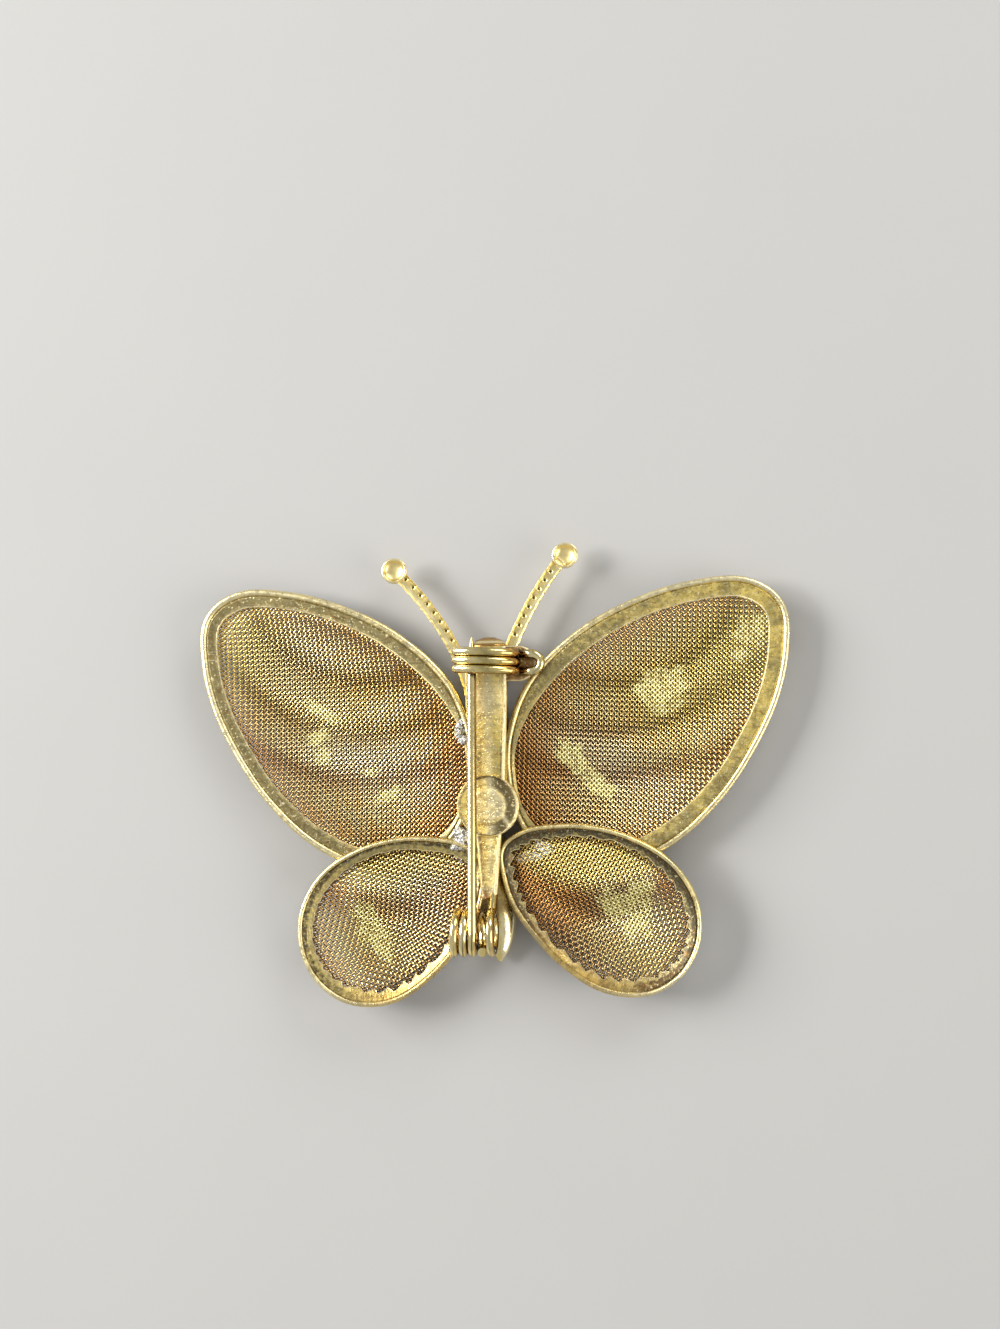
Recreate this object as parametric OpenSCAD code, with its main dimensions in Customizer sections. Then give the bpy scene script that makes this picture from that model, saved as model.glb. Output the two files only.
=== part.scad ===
// Butterfly brooch of gilt metal with woven wire wings.
// It lies face down: the fronts of the wings touch the floor and the pin is on top.

/* [Forewings] */
// Length of a forewing from its root to its tip
fore_len = 34.8; // [32:0.1:38]
// Width of a forewing
fore_wid = 22.6; // [20:0.1:25]
// Turn of a forewing's length up from straight sideways
fore_turn = 39; // [34:0.5:44]
// Centre of a forewing, sideways from the body's line
fore_x = 16.25; // [15.5:0.05:17.5]
// Centre of a forewing, upwards
fore_y = 5.6; // [5:0.05:6.2]
// Height of the back of a forewing's flange
fore_z = 3.3; // [3.1:0.05:3.35]
// Width of the right forewing's flange, lip included
fore_flange_right = 2.1; // [1.5:0.05:2.4]
// Width of the left forewing's flange, lip included
fore_flange_left = 1.85; // [1.5:0.05:2.4]

/* [Hindwings] */
// Length of the right hindwing
hind_len_right = 22.3; // [21:0.1:24]
// Width of the right hindwing
hind_wid_right = 15.2; // [14:0.1:16.5]
// Centre of the right hindwing, sideways
hind_x_right = 10.5; // [10:0.05:11.5]
// Centre of the right hindwing, upwards
hind_y_right = -12.85; // [-13.5:0.05:-12.3]
// Length of the left hindwing
hind_len_left = 21.5; // [20:0.1:24]
// Width of the left hindwing
hind_wid_left = 15.5; // [14:0.1:16.5]
// Centre of the left hindwing, sideways
hind_x_left = 9.75; // [9.5:0.05:11]
// Centre of the left hindwing, upwards
hind_y_left = -13.95; // [-14.5:0.05:-12.7]
// Turn of a hindwing's length down from straight sideways
hind_turn = 30; // [26:0.5:34]
// Height of the back of a hindwing's flange
hind_z = 4.4; // [4.35:0.05:4.45]
// Width of a hindwing's flange, lip included
hind_flange = 1.35; // [1.1:0.05:1.6]
// Number of folded tabs round a hindwing
tab_count = 32; // [24:1:36]
// Depth of the notch between two tabs
tab_notch = 0.45; // [0.2:0.05:0.6]

/* [Rims] */
// Width of the rounded lip
lip_w = 0.6; // [0.4:0.05:0.8]
// Height of the lip above the flange
lip_h = 0.15; // [0.05:0.05:0.15]
// Thickness of the flange
flange_t = 0.4; // [0.3:0.05:0.45]
// Thickness of the outer wall
wall_w = 0.75; // [0.5:0.05:0.8]
// Depth of a forewing's rim
fore_rim_h = 1.05; // [0.9:0.05:1.2]
// Depth of a hindwing's rim
hind_rim_h = 1.2; // [1.15:0.05:1.3]

/* [Wire mesh] */
// Thickness of the woven mesh
mesh_t = 0.36; // [0.25:0.01:0.4]
// Gap between the mesh and the rim that holds it
mesh_gap = 0.06; // [0.05:0.01:0.08]
// Depth of the hindwings' bulge
hind_bulge = 2.6; // [2:0.1:3]
// Height of the main folds pressed into the forewings
fold_h = 0.3; // [0.1:0.05:0.4]

/* [Body] */
// Length of the body from head to tail
body_len = 32.75; // [31:0.05:34]
// Top of the head
head_y = 13.75; // [13.3:0.05:14]
// Greatest width of the body
body_w = 4.2; // [3.8:0.1:4.6]
// Height of the body's back under the pin bar
body_z = 4.65; // [4.6:0.05:4.65]

/* [Antennae] */
// Sideways place of the right antenna's cup
cup_x_right = 7.95; // [7:0.05:9]
// Upward place of the right antenna's cup
cup_y_right = 21.85; // [21:0.05:22.6]
// Sideways place of the left antenna's cup
cup_x_left = 9.6; // [8.5:0.05:10.5]
// Upward place of the left antenna's cup
cup_y_left = 20.8; // [20:0.05:22.6]
// Radius of a cup
cup_r = 1.3; // [1:0.02:1.4]
// Wall of a cup
cup_wall = 0.3; // [0.2:0.05:0.4]
// Width of an antenna's strip
strip_w = 1.3; // [1:0.05:1.5]
// Thickness of an antenna's strip
strip_t = 0.5; // [0.4:0.05:0.7]
// Height of the back of an antenna
antenna_z = 3; // [2.8:0.05:3.2]
// Height of a cup's rim above its strip
cup_stand = 0.1; // [0.05:0.05:0.2]

/* [Pin bar] */
// Width of the bar at its top end
bar_w = 4.2; // [3.8:0.1:4.6]
// Thickness of the bar
bar_t = 0.9; // [0.7:0.05:1]
// Top end of the bar
bar_top_y = 12.7; // [12.4:0.05:12.9]
// Bottom end of the bar
bar_end_y = -12.4; // [-12.5:0.05:-12]
// Centre of the disc, upwards
disc_y = -3.15; // [-4:0.05:-2]
// Radius of the disc
disc_r = 3.1; // [2.8:0.05:3.3]
// Radius of the raised middle of the disc
boss_r = 1.8; // [1.4:0.05:2]
// Depth of the channel in the bar and the ring in the disc
channel_h = 0.2; // [0.1:0.05:0.3]
// Width of the wall left on each side of the channel
channel_wall = 0.35; // [0.25:0.05:0.5]
// Width of the tab under the catch
tab_w = 3.5; // [3.2:0.05:3.6]
// Sideways place of the centre of the tab's round end
tab_x = 3.3; // [3:0.05:3.6]
// Thickness of the tab
tab_t = 0.6; // [0.5:0.05:0.65]
// Distance from the catch's middle strand down to the middle of the tab
tab_drop = 0.4; // [0.2:0.05:0.5]
// Diameter of the leg that holds the coil's fixed turn
leg_d = 0.78; // [0.6:0.02:0.8]

/* [Catch] */
// Radius of the catch wire
catch_r = 0.44; // [0.43:0.01:0.46]
// Distance between two strands
strand_step = 0.86; // [0.84:0.01:0.86]
// Middle strand, upwards
catch_y = 11.35; // [11.2:0.05:11.5]
// Free left end of the strands, sideways
catch_left = -2.65; // [-2.8:0.05:-2.5]
// Right end of the loop, sideways
catch_right = 6.0; // [5.6:0.05:6.2]
// Rise of the strands over the bar
catch_rise = 2.3; // [2.2:0.05:2.5]
// Straight run of the strands between the loop and the arch
catch_run = 1; // [0.6:0.1:1.4]
// Distance by which the loop's end lies lower than the strands' free ends
catch_slant = 0.45; // [0:0.05:0.6]

/* [Pin] */
// Radius of the pin wire
pin_r = 0.48; // [0.4:0.01:0.5]
// Stem's place, sideways
pin_x = -1.25; // [-1.4:0.05:-1.1]
// Height of the stem under the catch
pin_catch_z = 6.35; // [6.3:0.05:6.4]
// Tip of the pin, upwards
pin_tip_y = 13.6; // [13.2:0.05:13.8]
// Length of the sharpened end
pin_point = 3; // [2:0.1:4]
// Centre of the coil, upwards
coil_y = -15.45; // [-15.5:0.05:-15.4]
// Centre of the coil, height
coil_z = 7.05; // [7.05:0.01:7.12]
// Radius of the coil to the middle of its wire
coil_r = 1.94; // [1.8:0.01:1.94]
// Radius of the coil's wire
coil_wire_r = 0.45; // [0.4:0.01:0.46]
// Turns of the coil that move with the stem
coil_turns = 3; // [2:1:3]
// Part of those turns that lies to the right of the stem
coil_lead = 0.75; // [0.5:0.25:1]
// Distance between two turns
coil_pitch = 0.92; // [0.92:0.01:0.94]

/* [Hidden] */

gilt = "#c9a24a";
mesh_gold = "#b98a3e";

// Steps round a forewing's rim and a hindwing's, three to each tab
fore_steps = 54;
hind_steps = 3 * tab_count;

// Outline of a forewing every bearing_step degrees, from the tip towards the leading edge
// [reach as a share of the ellipse, flange width as a share]
bearing_step = 22.5;
FORE_SHAPE = [
    [0.988, 1.00], [1.000, 1.00], [0.955, 1.00], [0.954, 1.00],
    [0.996, 1.05], [1.030, 1.00], [0.992, 0.60], [0.963, 0.45],
    [0.990, 0.60], [1.050, 0.90], [1.110, 1.05], [1.070, 1.05],
    [0.962, 1.00], [0.877, 1.00], [0.862, 1.00], [0.900, 1.00]
];
// The same for a hindwing
HIND_SHAPE = [
    [0.990, 1.00], [0.995, 0.95], [1.030, 1.00], [1.040, 0.95],
    [0.980, 0.80], [0.925, 0.80], [0.905, 0.95], [0.950, 1.00],
    [0.980, 1.00], [0.898, 0.90], [0.870, 0.90], [0.875, 0.85],
    [0.950, 0.85], [1.062, 1.05], [1.075, 1.25], [1.025, 1.10]
];

// Sections of the body from head to tail, as shares
// [place along the body, width of body_w, height of the back of body_z, height of the front]
BODY_SHAPE = [
    [0.000, 0.34, 0.62, 0.30], [0.009, 0.68, 0.74, 0.18], [0.026, 0.92, 0.86, 0.09],
    [0.058, 1.00, 0.97, 0.04], [0.120, 0.92, 1.00, 0.03], [0.170, 0.78, 1.00, 0.03],
    [0.240, 0.86, 1.00, 0.01], [0.340, 0.90, 1.00, 0.00], [0.480, 0.86, 1.00, 0.00],
    [0.600, 0.62, 1.00, 0.02], [0.700, 0.52, 1.00, 0.03], [0.760, 0.60, 0.86, 0.02],
    [0.815, 0.82, 0.66, 0.00], [0.865, 0.88, 0.56, 0.00], [0.905, 0.78, 0.50, 0.01],
    [0.940, 0.63, 0.45, 0.04], [0.975, 0.40, 0.41, 0.11], [1.000, 0.12, 0.34, 0.20]
];
// The tail swings a little to the right of the body's line
tail_shift = 0.45;
body_sides = 14;

// Half-widths of the bar from its bottom end to its top, as shares
// [place along the bar, half-width of half of bar_w]
BAR_SHAPE = [[0, 0.36], [0.2, 0.54], [0.36, 0.76], [0.48, 0.84], [0.8, 0.98], [1, 0.98]];

// Gap between two pieces that lie on each other
clearance = 0.05;
bar_z = body_z + clearance;
tab_z = bar_z + tab_t;

// Wing records: centre, length, width, turn, outline table, side, flange width
fore_right = [fore_x, fore_y, fore_len, fore_wid, fore_turn, FORE_SHAPE, 1, fore_flange_right];
fore_left = [fore_x, fore_y, fore_len, fore_wid, fore_turn, FORE_SHAPE, -1, fore_flange_left];
hind_right = [hind_x_right, hind_y_right, hind_len_right, hind_wid_right, -hind_turn, HIND_SHAPE, 1,
              hind_flange];
hind_left = [hind_x_left, hind_y_left, hind_len_left, hind_wid_left, -hind_turn, HIND_SHAPE, -1,
             hind_flange];
function table(w) = w[5];
function side(w) = w[6];
function flange(w) = w[7];

function turned(p, a) = [p.x * cos(a) - p.y * sin(a), p.x * sin(a) + p.y * cos(a)];
function unit(v) = v / norm(v);
function clamp01(x) = min(1, max(0, x));
function ease(x) = let(t = clamp01(x)) t * t * (3 - 2 * t);

// A table's column read at any bearing, on a smooth curve through its rows
function row(t, i, col) = t[(i % len(t) + len(t)) % len(t)][col];
function curve(a, b, c, d, t) = b + 0.5 * t * (c - a + t * (2 * a - 5 * b + 4 * c - d
    + t * (3 * (b - c) + d - a)));
function share(t, col, bearing) = let(s = bearing / bearing_step, i = floor(s))
    curve(row(t, i - 1, col), row(t, i, col), row(t, i + 1, col), row(t, i + 2, col), s - i);

// Outline of a wing at a bearing, and the same moved inwards
function outline(w, b) = let(
        r = share(table(w), 0, b),
        q = turned([w[2] / 2 * r * cos(b), w[3] / 2 * r * sin(b)], w[4]))
    [side(w) * (w[0] + q.x), w[1] + q.y];
function inset(w, b, d) = let(t = outline(w, b + 1) - outline(w, b - 1))
    outline(w, b) + d * side(w) * [-t.y, t.x] / norm(t);
function wing_centre(w) = [side(w) * w[0], w[1]];

// How far out a point lies in a wing, 1 on its outline
function wing_share(w, p) = let(
        q = turned([side(w) * p.x - w[0], p.y - w[1]], -w[4]),
        n = [2 * q.x / w[2], 2 * q.y / w[3]])
    norm(n) / share(table(w), 0, (atan2(n.y, n.x) + 360) % 360);

// Section of a rim: distance in from the outline, height from the back of the flange
function rim_section(wide, deep) = [
    [0, -deep * 0.15], [lip_w * 0.3, lip_h], [lip_w * 0.75, lip_h], [lip_w, 0],
    [wide, 0], [wide, -flange_t], [wall_w, -flange_t], [wall_w, -deep * 0.9],
    [wall_w * 0.4, -deep], [0, -deep * 0.7]
];

// Faces of a tube that closes on itself, n rings of m points
function ring_faces(n, m, flip) = [for (i = [0:n - 1]) for (j = [0:m - 1]) let(
        a = i * m + j, b = i * m + (j + 1) % m,
        c = ((i + 1) % n) * m + (j + 1) % m, d = ((i + 1) % n) * m + j)
    each flip ? [[a, c, b], [a, d, c]] : [[a, b, c], [a, c, d]]];

// Faces of a tube with closed ends, n rings of m points
function tube_faces(n, m) = concat(
    [for (i = [0:n - 2]) for (j = [0:m - 1]) let(
            a = i * m + j, b = i * m + (j + 1) % m, c = (i + 1) * m + (j + 1) % m, d = (i + 1) * m + j)
        each [[a, b, c], [a, c, d]]],
    [for (j = [1:m - 2]) [0, j + 1, j]],
    [for (j = [1:m - 2]) [(n - 1) * m, (n - 1) * m + j, (n - 1) * m + j + 1]]);

// Round wire along a path, with its section carried on without twist
module wire(path, r, sides) {
    n = len(path);
    tangents = [for (i = [0:n - 1]) unit(path[min(i + 1, n - 1)] - path[max(i - 1, 0)])];
    first = unit(cross(tangents[0], abs(tangents[0].z) > 0.9 ? [0, 1, 0] : [0, 0, 1]));
    normals = [for (i = 0, u = first; i < n; i = i + 1,
        u = i < n ? unit(u - (u * tangents[i]) * tangents[i]) : u) u];
    polyhedron([for (i = [0:n - 1]) let(v = cross(tangents[i], normals[i])) for (j = [0:sides - 1])
        path[i] + r * (cos(360 * j / sides) * normals[i] - sin(360 * j / sides) * v)],
        tube_faces(n, sides));
}

// One wing's rim: a flange with a rounded lip and an outer wall
module rim(w, z, deep, steps, notch) {
    m = len(rim_section(1, 1));
    polyhedron([for (i = [0:steps - 1]) let(
            b = 360 * i / steps,
            wide = flange(w) * share(table(w), 1, b) - (i % 3 == 0 ? notch : 0))
        for (s = rim_section(max(wide, wall_w + clearance), deep))
            let(p = inset(w, b, s[0])) [p.x, p.y, z + s[1]]],
        ring_faces(steps, m, side(w) < 0));
}

// A mesh panel: rings of points from the middle to the edge, on a back and a front surface
mesh_in = wall_w + mesh_gap;
function mesh_z(z) = z - flange_t - mesh_gap - mesh_t / 2;
fore_bulge = mesh_z(fore_z) - mesh_t / 2;
// Share of the panel under the flange, which stays flat
flat_share = 0.88;
function bulge(f) = 1 - pow(min(f / flat_share, 1), 2.4);

// The forewing's folds are arcs round a point beyond its leading edge
fold_x = 12.8;
fold_y = 22.1;
FOLDS = [10.8, 15.8, 20.4];
fold_width = 1.5;
function fold(w, p) = let(d = norm(p - [side(w) * fold_x, fold_y]))
    fold_h * ([for (r = FOLDS) exp(-pow((d - r) / fold_width, 2))] * [for (r = FOLDS) 1]);

function fore_sag(w, p, f) = (fore_bulge - fold(w, p)) * bulge(f);
// The hindwing lies flat where it covers the forewing's rim and drops beyond it
cover_run = 0.24;
function hind_sag(w, over, p, f) = hind_bulge * bulge(f) * ease((wing_share(over, p) - 1.02) / cover_run);

module mesh_panel(w, z, rings, steps, over) {
    centre = wing_centre(w);
    spots = concat([[centre, 0]], [for (k = [1:rings]) for (i = [0:steps - 1])
        let(f = pow(k / rings, 0.85)) [centre + f * (inset(w, 360 * i / steps, mesh_in) - centre), f]]);
    middle = [for (s = spots) [s[0].x, s[0].y, mesh_z(z)
        - (over == undef ? fore_sag(w, s[0], s[1]) : hind_sag(w, over, s[0], s[1]))]];
    n = len(spots);
    function at(k, i) = 1 + (k - 1) * steps + i % steps;
    back = concat([for (i = [0:steps - 1]) [0, at(1, i), at(1, i + 1)]],
        [for (k = [1:rings - 1]) for (i = [0:steps - 1])
            each [[at(k, i), at(k + 1, i), at(k + 1, i + 1)], [at(k, i), at(k + 1, i + 1), at(k, i + 1)]]]);
    edge = [for (i = [0:steps - 1]) let(a = at(rings, i), b = at(rings, i + 1))
        each [[a, b + n, b], [a, a + n, b + n]]];
    faces = concat([for (f = back) [f[2], f[1], f[0]]], [for (f = back) f + [n, n, n]],
        [for (f = edge) [f[2], f[1], f[0]]]);
    polyhedron(concat([for (p = middle) p + [0, 0, mesh_t / 2]], [for (p = middle) p - [0, 0, mesh_t / 2]]),
        side(w) > 0 ? faces : [for (f = faces) [f[2], f[1], f[0]]]);
}

// The body: a loft from the head dome to the tail
body_corner = 0.75;
module body() {
    function rounded(v) = sign(v) * pow(abs(v), body_corner);
    polyhedron([for (s = BODY_SHAPE) let(
            low = s[3] * body_z, high = s[2] * body_z, shift = tail_shift * ease((s[0] - 0.65) / 0.3))
        for (j = [0:body_sides - 1]) let(a = -360 * (j + 0.5) / body_sides)
            [shift + body_w / 2 * s[1] * rounded(cos(a)), head_y - body_len * s[0],
             (low + high) / 2 + (high - low) / 2 * rounded(sin(a))]],
        tube_faces(len(BODY_SHAPE), body_sides));
}

// An antenna: a gutter that curves out from the body to a cup
gutter_parts = 9;
// Columns: side, cup, root as a share of body_w, root below the head's top,
// bend towards the cup sideways and upwards as shares
ANTENNAE = [
    [1, [cup_x_right, cup_y_right], 0.26, 3.9, 0.45, 0.66],
    [-1, [cup_x_left, cup_y_left], 0.44, 5.7, 0.19, 0.51]
];
// Section of the gutter: [place across as a share of strip_w, height as a share of strip_t]
GUTTER = [
    [-0.50, 0.00], [-0.36, 0.00], [-0.26, -0.42], [0.26, -0.42], [0.36, 0.00], [0.50, 0.00],
    [0.42, -1.00], [-0.42, -1.00]
];
module antenna(s, tip, root_x, root_drop, bend_x, bend_y) {
    root = [root_x * body_w, head_y - root_drop];
    bend = [root.x + bend_x * (tip.x - root.x), root.y + bend_y * (tip.y - root.y)];
    function spot(t) = (1 - t) * (1 - t) * root + 2 * t * (1 - t) * bend + t * t * tip;
    function way(t) = unit((1 - t) * (bend - root) + t * (tip - bend));
    function lie(p) = [s * p.x, p.y];
    difference() {
        union() {
            polyhedron([for (i = [0:gutter_parts]) let(p = spot(i / gutter_parts), d = way(i / gutter_parts))
                for (g = GUTTER) let(q = lie(p - s * g[0] * strip_w * [d.y, -d.x]))
                    [q.x, q.y, antenna_z + g[1] * strip_t]],
                tube_faces(gutter_parts + 1, len(GUTTER)));
            translate([each lie(tip), antenna_z + cup_stand]) difference() {
                sphere(r = cup_r, $fn = 24);
                translate([-2 * cup_r, -2 * cup_r, 0]) cube([4 * cup_r, 4 * cup_r, 2 * cup_r]);
            }
        }
        translate([each lie(tip), antenna_z + cup_stand]) sphere(r = cup_r - cup_wall, $fn = 24);
    }
}

module butterfly_frame() {
    color(gilt) {
        rim(fore_right, fore_z, fore_rim_h, fore_steps, 0);
        rim(fore_left, fore_z, fore_rim_h, fore_steps, 0);
        rim(hind_right, hind_z, hind_rim_h, hind_steps, tab_notch);
        rim(hind_left, hind_z, hind_rim_h, hind_steps, tab_notch);
        body();
        for (a = ANTENNAE) antenna(a[0], a[1], a[2], a[3], a[4], a[5]);
    }
}

module forewing_mesh_right() { color(mesh_gold) mesh_panel(fore_right, fore_z, 9, 40, undef); }
module forewing_mesh_left() { color(mesh_gold) mesh_panel(fore_left, fore_z, 9, 40, undef); }
module hindwing_mesh_right() { color(mesh_gold) mesh_panel(hind_right, hind_z, 7, 36, fore_right); }
module hindwing_mesh_left() { color(mesh_gold) mesh_panel(hind_left, hind_z, 7, 36, fore_left); }

// Flat outline of the bar, with its sides moved in by the margin
module bar_outline(margin) {
    long = bar_top_y - bar_end_y;
    function edge(s) = [bar_w / 2 * s[1] - margin, bar_end_y + margin + (long - 2 * margin) * s[0]];
    right = [for (s = BAR_SHAPE) edge(s)];
    left = [for (i = [len(BAR_SHAPE) - 1:-1:0]) let(p = edge(BAR_SHAPE[i])) [-p.x, p.y]];
    polygon(concat(right, left));
}

// The pin bar: a channelled plate with a disc, a tab for the catch and the coil's fixed turn
fixed_r = coil_wire_r - 0.03;
fixed_gap = 0.13;
fixed_x = pin_x + coil_lead * coil_pitch + coil_wire_r + fixed_r + fixed_gap;
leg_lean = 48;
leg_len = 1.9;
leg_root = 0.5;
module pin_bar() {
    channel_z = bar_z + bar_t - channel_h;
    tab_y = catch_y - tab_drop;
    color(gilt) {
        difference() {
            union() {
                translate([0, 0, bar_z]) linear_extrude(bar_t) bar_outline(0);
                translate([0, disc_y, bar_z]) cylinder(h = bar_t, r = disc_r, $fn = 64);
                translate([0, tab_y - tab_w / 2, bar_z]) cube([tab_x, tab_w, tab_t]);
                translate([tab_x, tab_y, bar_z]) cylinder(h = tab_t, r = tab_w / 2, $fn = 48);
            }
            difference() {
                translate([0, 0, channel_z]) linear_extrude(bar_t) bar_outline(channel_wall);
                translate([0, disc_y, bar_z]) cylinder(h = 3 * bar_t, r = disc_r, $fn = 64);
            }
            translate([0, disc_y, channel_z]) difference() {
                cylinder(h = bar_t, r = disc_r - channel_wall, $fn = 64);
                translate([0, 0, -bar_t]) cylinder(h = 3 * bar_t, r = boss_r, $fn = 48);
            }
        }
        translate([fixed_x, coil_y, coil_z]) rotate([0, 90, 0])
            rotate_extrude($fn = 48) translate([coil_r, 0]) circle(r = fixed_r, $fn = 24);
        translate([fixed_x, bar_end_y + leg_root, bar_z + bar_t / 2]) rotate([leg_lean, 0, 0])
            cylinder(h = leg_len, r = leg_d / 2, $fn = 24);
    }
}

// The catch: a wire hairpin whose two legs and a middle strand arch over the bar to free ends
catch_z = tab_z + catch_r + clearance;
loop_r = strand_step;
loop_x = catch_right - catch_r - loop_r;
arch_foot = loop_x - catch_run;
// Angle of the arch at which its free ends stop
arch_end = 140;
arch_steps = 10;
arch_round = 0.85;
function slant(x) = -catch_slant * (x - catch_left) / (catch_right - catch_left);
function arch(y) = let(half = (arch_foot - catch_left) / (1 - cos(arch_end)))
    [for (i = [0:arch_steps]) let(
        a = arch_end * (1 - i / arch_steps),
        x = arch_foot - half * (1 - cos(a)))
        [x, y + slant(x), catch_z + catch_rise * pow(sin(a), arch_round)]];
module catch() {
    bend = [for (a = [90:-30:-90])
        [loop_x + loop_r * cos(a), catch_y + slant(loop_x) + loop_r * sin(a), catch_z]];
    up = arch(catch_y + strand_step);
    down = arch(catch_y - strand_step);
    color(gilt) {
        wire(concat(up, bend, [for (i = [arch_steps:-1:0]) down[i]]), catch_r, 8);
        wire(arch(catch_y), catch_r, 8);
    }
}

// The pin: a stem that leaves the top of its coil and slopes down to the catch
reach_y = catch_y - coil_y;
drop_z = pin_catch_z - coil_z;
pin_slope = asin(coil_r / norm([reach_y, drop_z])) - atan2(drop_z, reach_y);
start_y = coil_y + coil_r * sin(pin_slope);
start_z = coil_z + coil_r * cos(pin_slope);
stem_len = (pin_tip_y - start_y) / cos(pin_slope) - pin_point;
coil_steps = 16;
tip_r = 0.06;
module pin() {
    color("#cdb478") {
        translate([pin_x, start_y, start_z]) rotate([-90 - pin_slope, 0, 0]) {
            cylinder(h = stem_len, r = pin_r, $fn = 32);
            translate([0, 0, stem_len]) cylinder(h = pin_point, r1 = pin_r, r2 = tip_r, $fn = 32);
        }
        wire([for (i = [0:round(coil_turns * coil_steps)]) let(turn = i / coil_steps - coil_lead)
            [pin_x - coil_pitch * turn, coil_y + coil_r * cos(90 + 360 * turn),
             coil_z + coil_r * sin(90 + 360 * turn)]], coil_wire_r, 8);
    }
}

butterfly_frame();
forewing_mesh_right();
forewing_mesh_left();
hindwing_mesh_right();
hindwing_mesh_left();
pin_bar();
catch();
pin();
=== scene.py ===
import math
import bmesh
import bpy
import numpy as np
from mathutils import Matrix, Vector, noise


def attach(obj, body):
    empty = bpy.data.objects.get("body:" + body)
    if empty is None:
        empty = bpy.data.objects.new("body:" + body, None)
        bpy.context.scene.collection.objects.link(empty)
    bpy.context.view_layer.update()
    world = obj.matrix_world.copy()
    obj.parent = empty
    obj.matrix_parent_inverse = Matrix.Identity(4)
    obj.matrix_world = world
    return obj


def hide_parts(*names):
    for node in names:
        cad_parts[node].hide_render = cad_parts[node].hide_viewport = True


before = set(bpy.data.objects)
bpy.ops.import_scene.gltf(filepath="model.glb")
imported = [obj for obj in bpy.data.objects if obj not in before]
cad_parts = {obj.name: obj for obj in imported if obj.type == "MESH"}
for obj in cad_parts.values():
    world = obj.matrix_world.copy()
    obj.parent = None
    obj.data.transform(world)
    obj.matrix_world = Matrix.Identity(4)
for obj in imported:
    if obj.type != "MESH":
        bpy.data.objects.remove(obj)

bl_info = {
    "name": "Butterfly brooch",
    "version": (1, 0, 0),
    "blender": (4, 5, 0),
    "location": "View3D > Sidebar > Brooch",
    "description": "Builds a gilt butterfly brooch with woven wire wings, lying face down",
    "category": "Add Mesh",
}

# Lengths in this file are millimetres, and become metres where a mesh is made
MM = 0.001

# Outline of a forewing every bearing step, from the tip towards the leading edge
# [reach as a share of the ellipse, flange width as a share]
BEARING_STEP = 22.5
FORE_SHAPE = [
    [0.988, 1.00], [1.000, 1.00], [0.955, 1.00], [0.954, 1.00],
    [0.996, 1.05], [1.030, 1.00], [0.992, 0.60], [0.963, 0.45],
    [0.990, 0.60], [1.050, 0.90], [1.110, 1.05], [1.070, 1.05],
    [0.962, 1.00], [0.877, 1.00], [0.862, 1.00], [0.900, 1.00],
]
# The same for a hindwing
HIND_SHAPE = [
    [0.990, 1.00], [0.995, 0.95], [1.030, 1.00], [1.040, 0.95],
    [0.980, 0.80], [0.925, 0.80], [0.905, 0.95], [0.950, 1.00],
    [0.980, 1.00], [0.898, 0.90], [0.870, 0.90], [0.875, 0.85],
    [0.950, 0.85], [1.062, 1.05], [1.075, 1.25], [1.025, 1.10],
]
# Sections of the body from head to tail, as shares of the body's sizes
# [place along the body, width, height of the back, height of the front]
BODY_SHAPE = [
    [0.000, 0.34, 0.62, 0.30], [0.009, 0.68, 0.74, 0.18], [0.026, 0.92, 0.86, 0.09],
    [0.058, 1.00, 0.97, 0.04], [0.120, 0.92, 1.00, 0.03], [0.170, 0.78, 1.00, 0.03],
    [0.240, 0.86, 1.00, 0.01], [0.340, 0.90, 1.00, 0.00], [0.480, 0.86, 1.00, 0.00],
    [0.600, 0.62, 1.00, 0.02], [0.700, 0.52, 1.00, 0.03], [0.760, 0.60, 0.86, 0.02],
    [0.815, 0.82, 0.66, 0.00], [0.865, 0.88, 0.56, 0.00], [0.905, 0.78, 0.50, 0.01],
    [0.940, 0.63, 0.45, 0.04], [0.975, 0.40, 0.41, 0.11], [1.000, 0.12, 0.34, 0.20],
]
# Half-widths of the bar from its bottom end to its top, as shares
BAR_SHAPE = [[0, 0.36], [0.2, 0.54], [0.36, 0.76], [0.48, 0.84], [0.8, 0.98], [1, 0.98]]


# Edges that bend by more than this, in degrees, stay sharp
SHARP_ANGLE = 40
# Steps of the noise's place from one seed to the next
SEED_STEPS = (7.3, 3.1, 5.7)


def size_property(name, description, default):
    return bpy.props.FloatProperty(
        name=name, description=description, default=default * MM, unit="LENGTH", precision=6)


def colour_property(name, description, default):
    return bpy.props.FloatVectorProperty(
        name=name, description=description, default=default, subtype="COLOR", size=3, min=0, max=1)


def power_property(name, description, default):
    return bpy.props.FloatProperty(name=name, description=description, default=default, unit="POWER")


class WingSizes(bpy.types.PropertyGroup):
    """Sizes of the four wings."""
    pitch: size_property("Mesh pitch", "Distance between two wires of the weave", 0.36)
    wire: size_property("Mesh wire", "Thickness of one wire of the weave", 0.212)
    wander: size_property("Wander", "How far the woven wires stray from straight lines", 0.05)
    lip: size_property("Lip width", "Width of the rounded lip round a wing", 0.62)
    tab_notch: size_property("Notch depth", "Depth of the notch between two folded tabs", 0.55)
    tabs: bpy.props.IntProperty(
        name="Tabs", description="Number of folded tabs round a hindwing", default=32)


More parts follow.
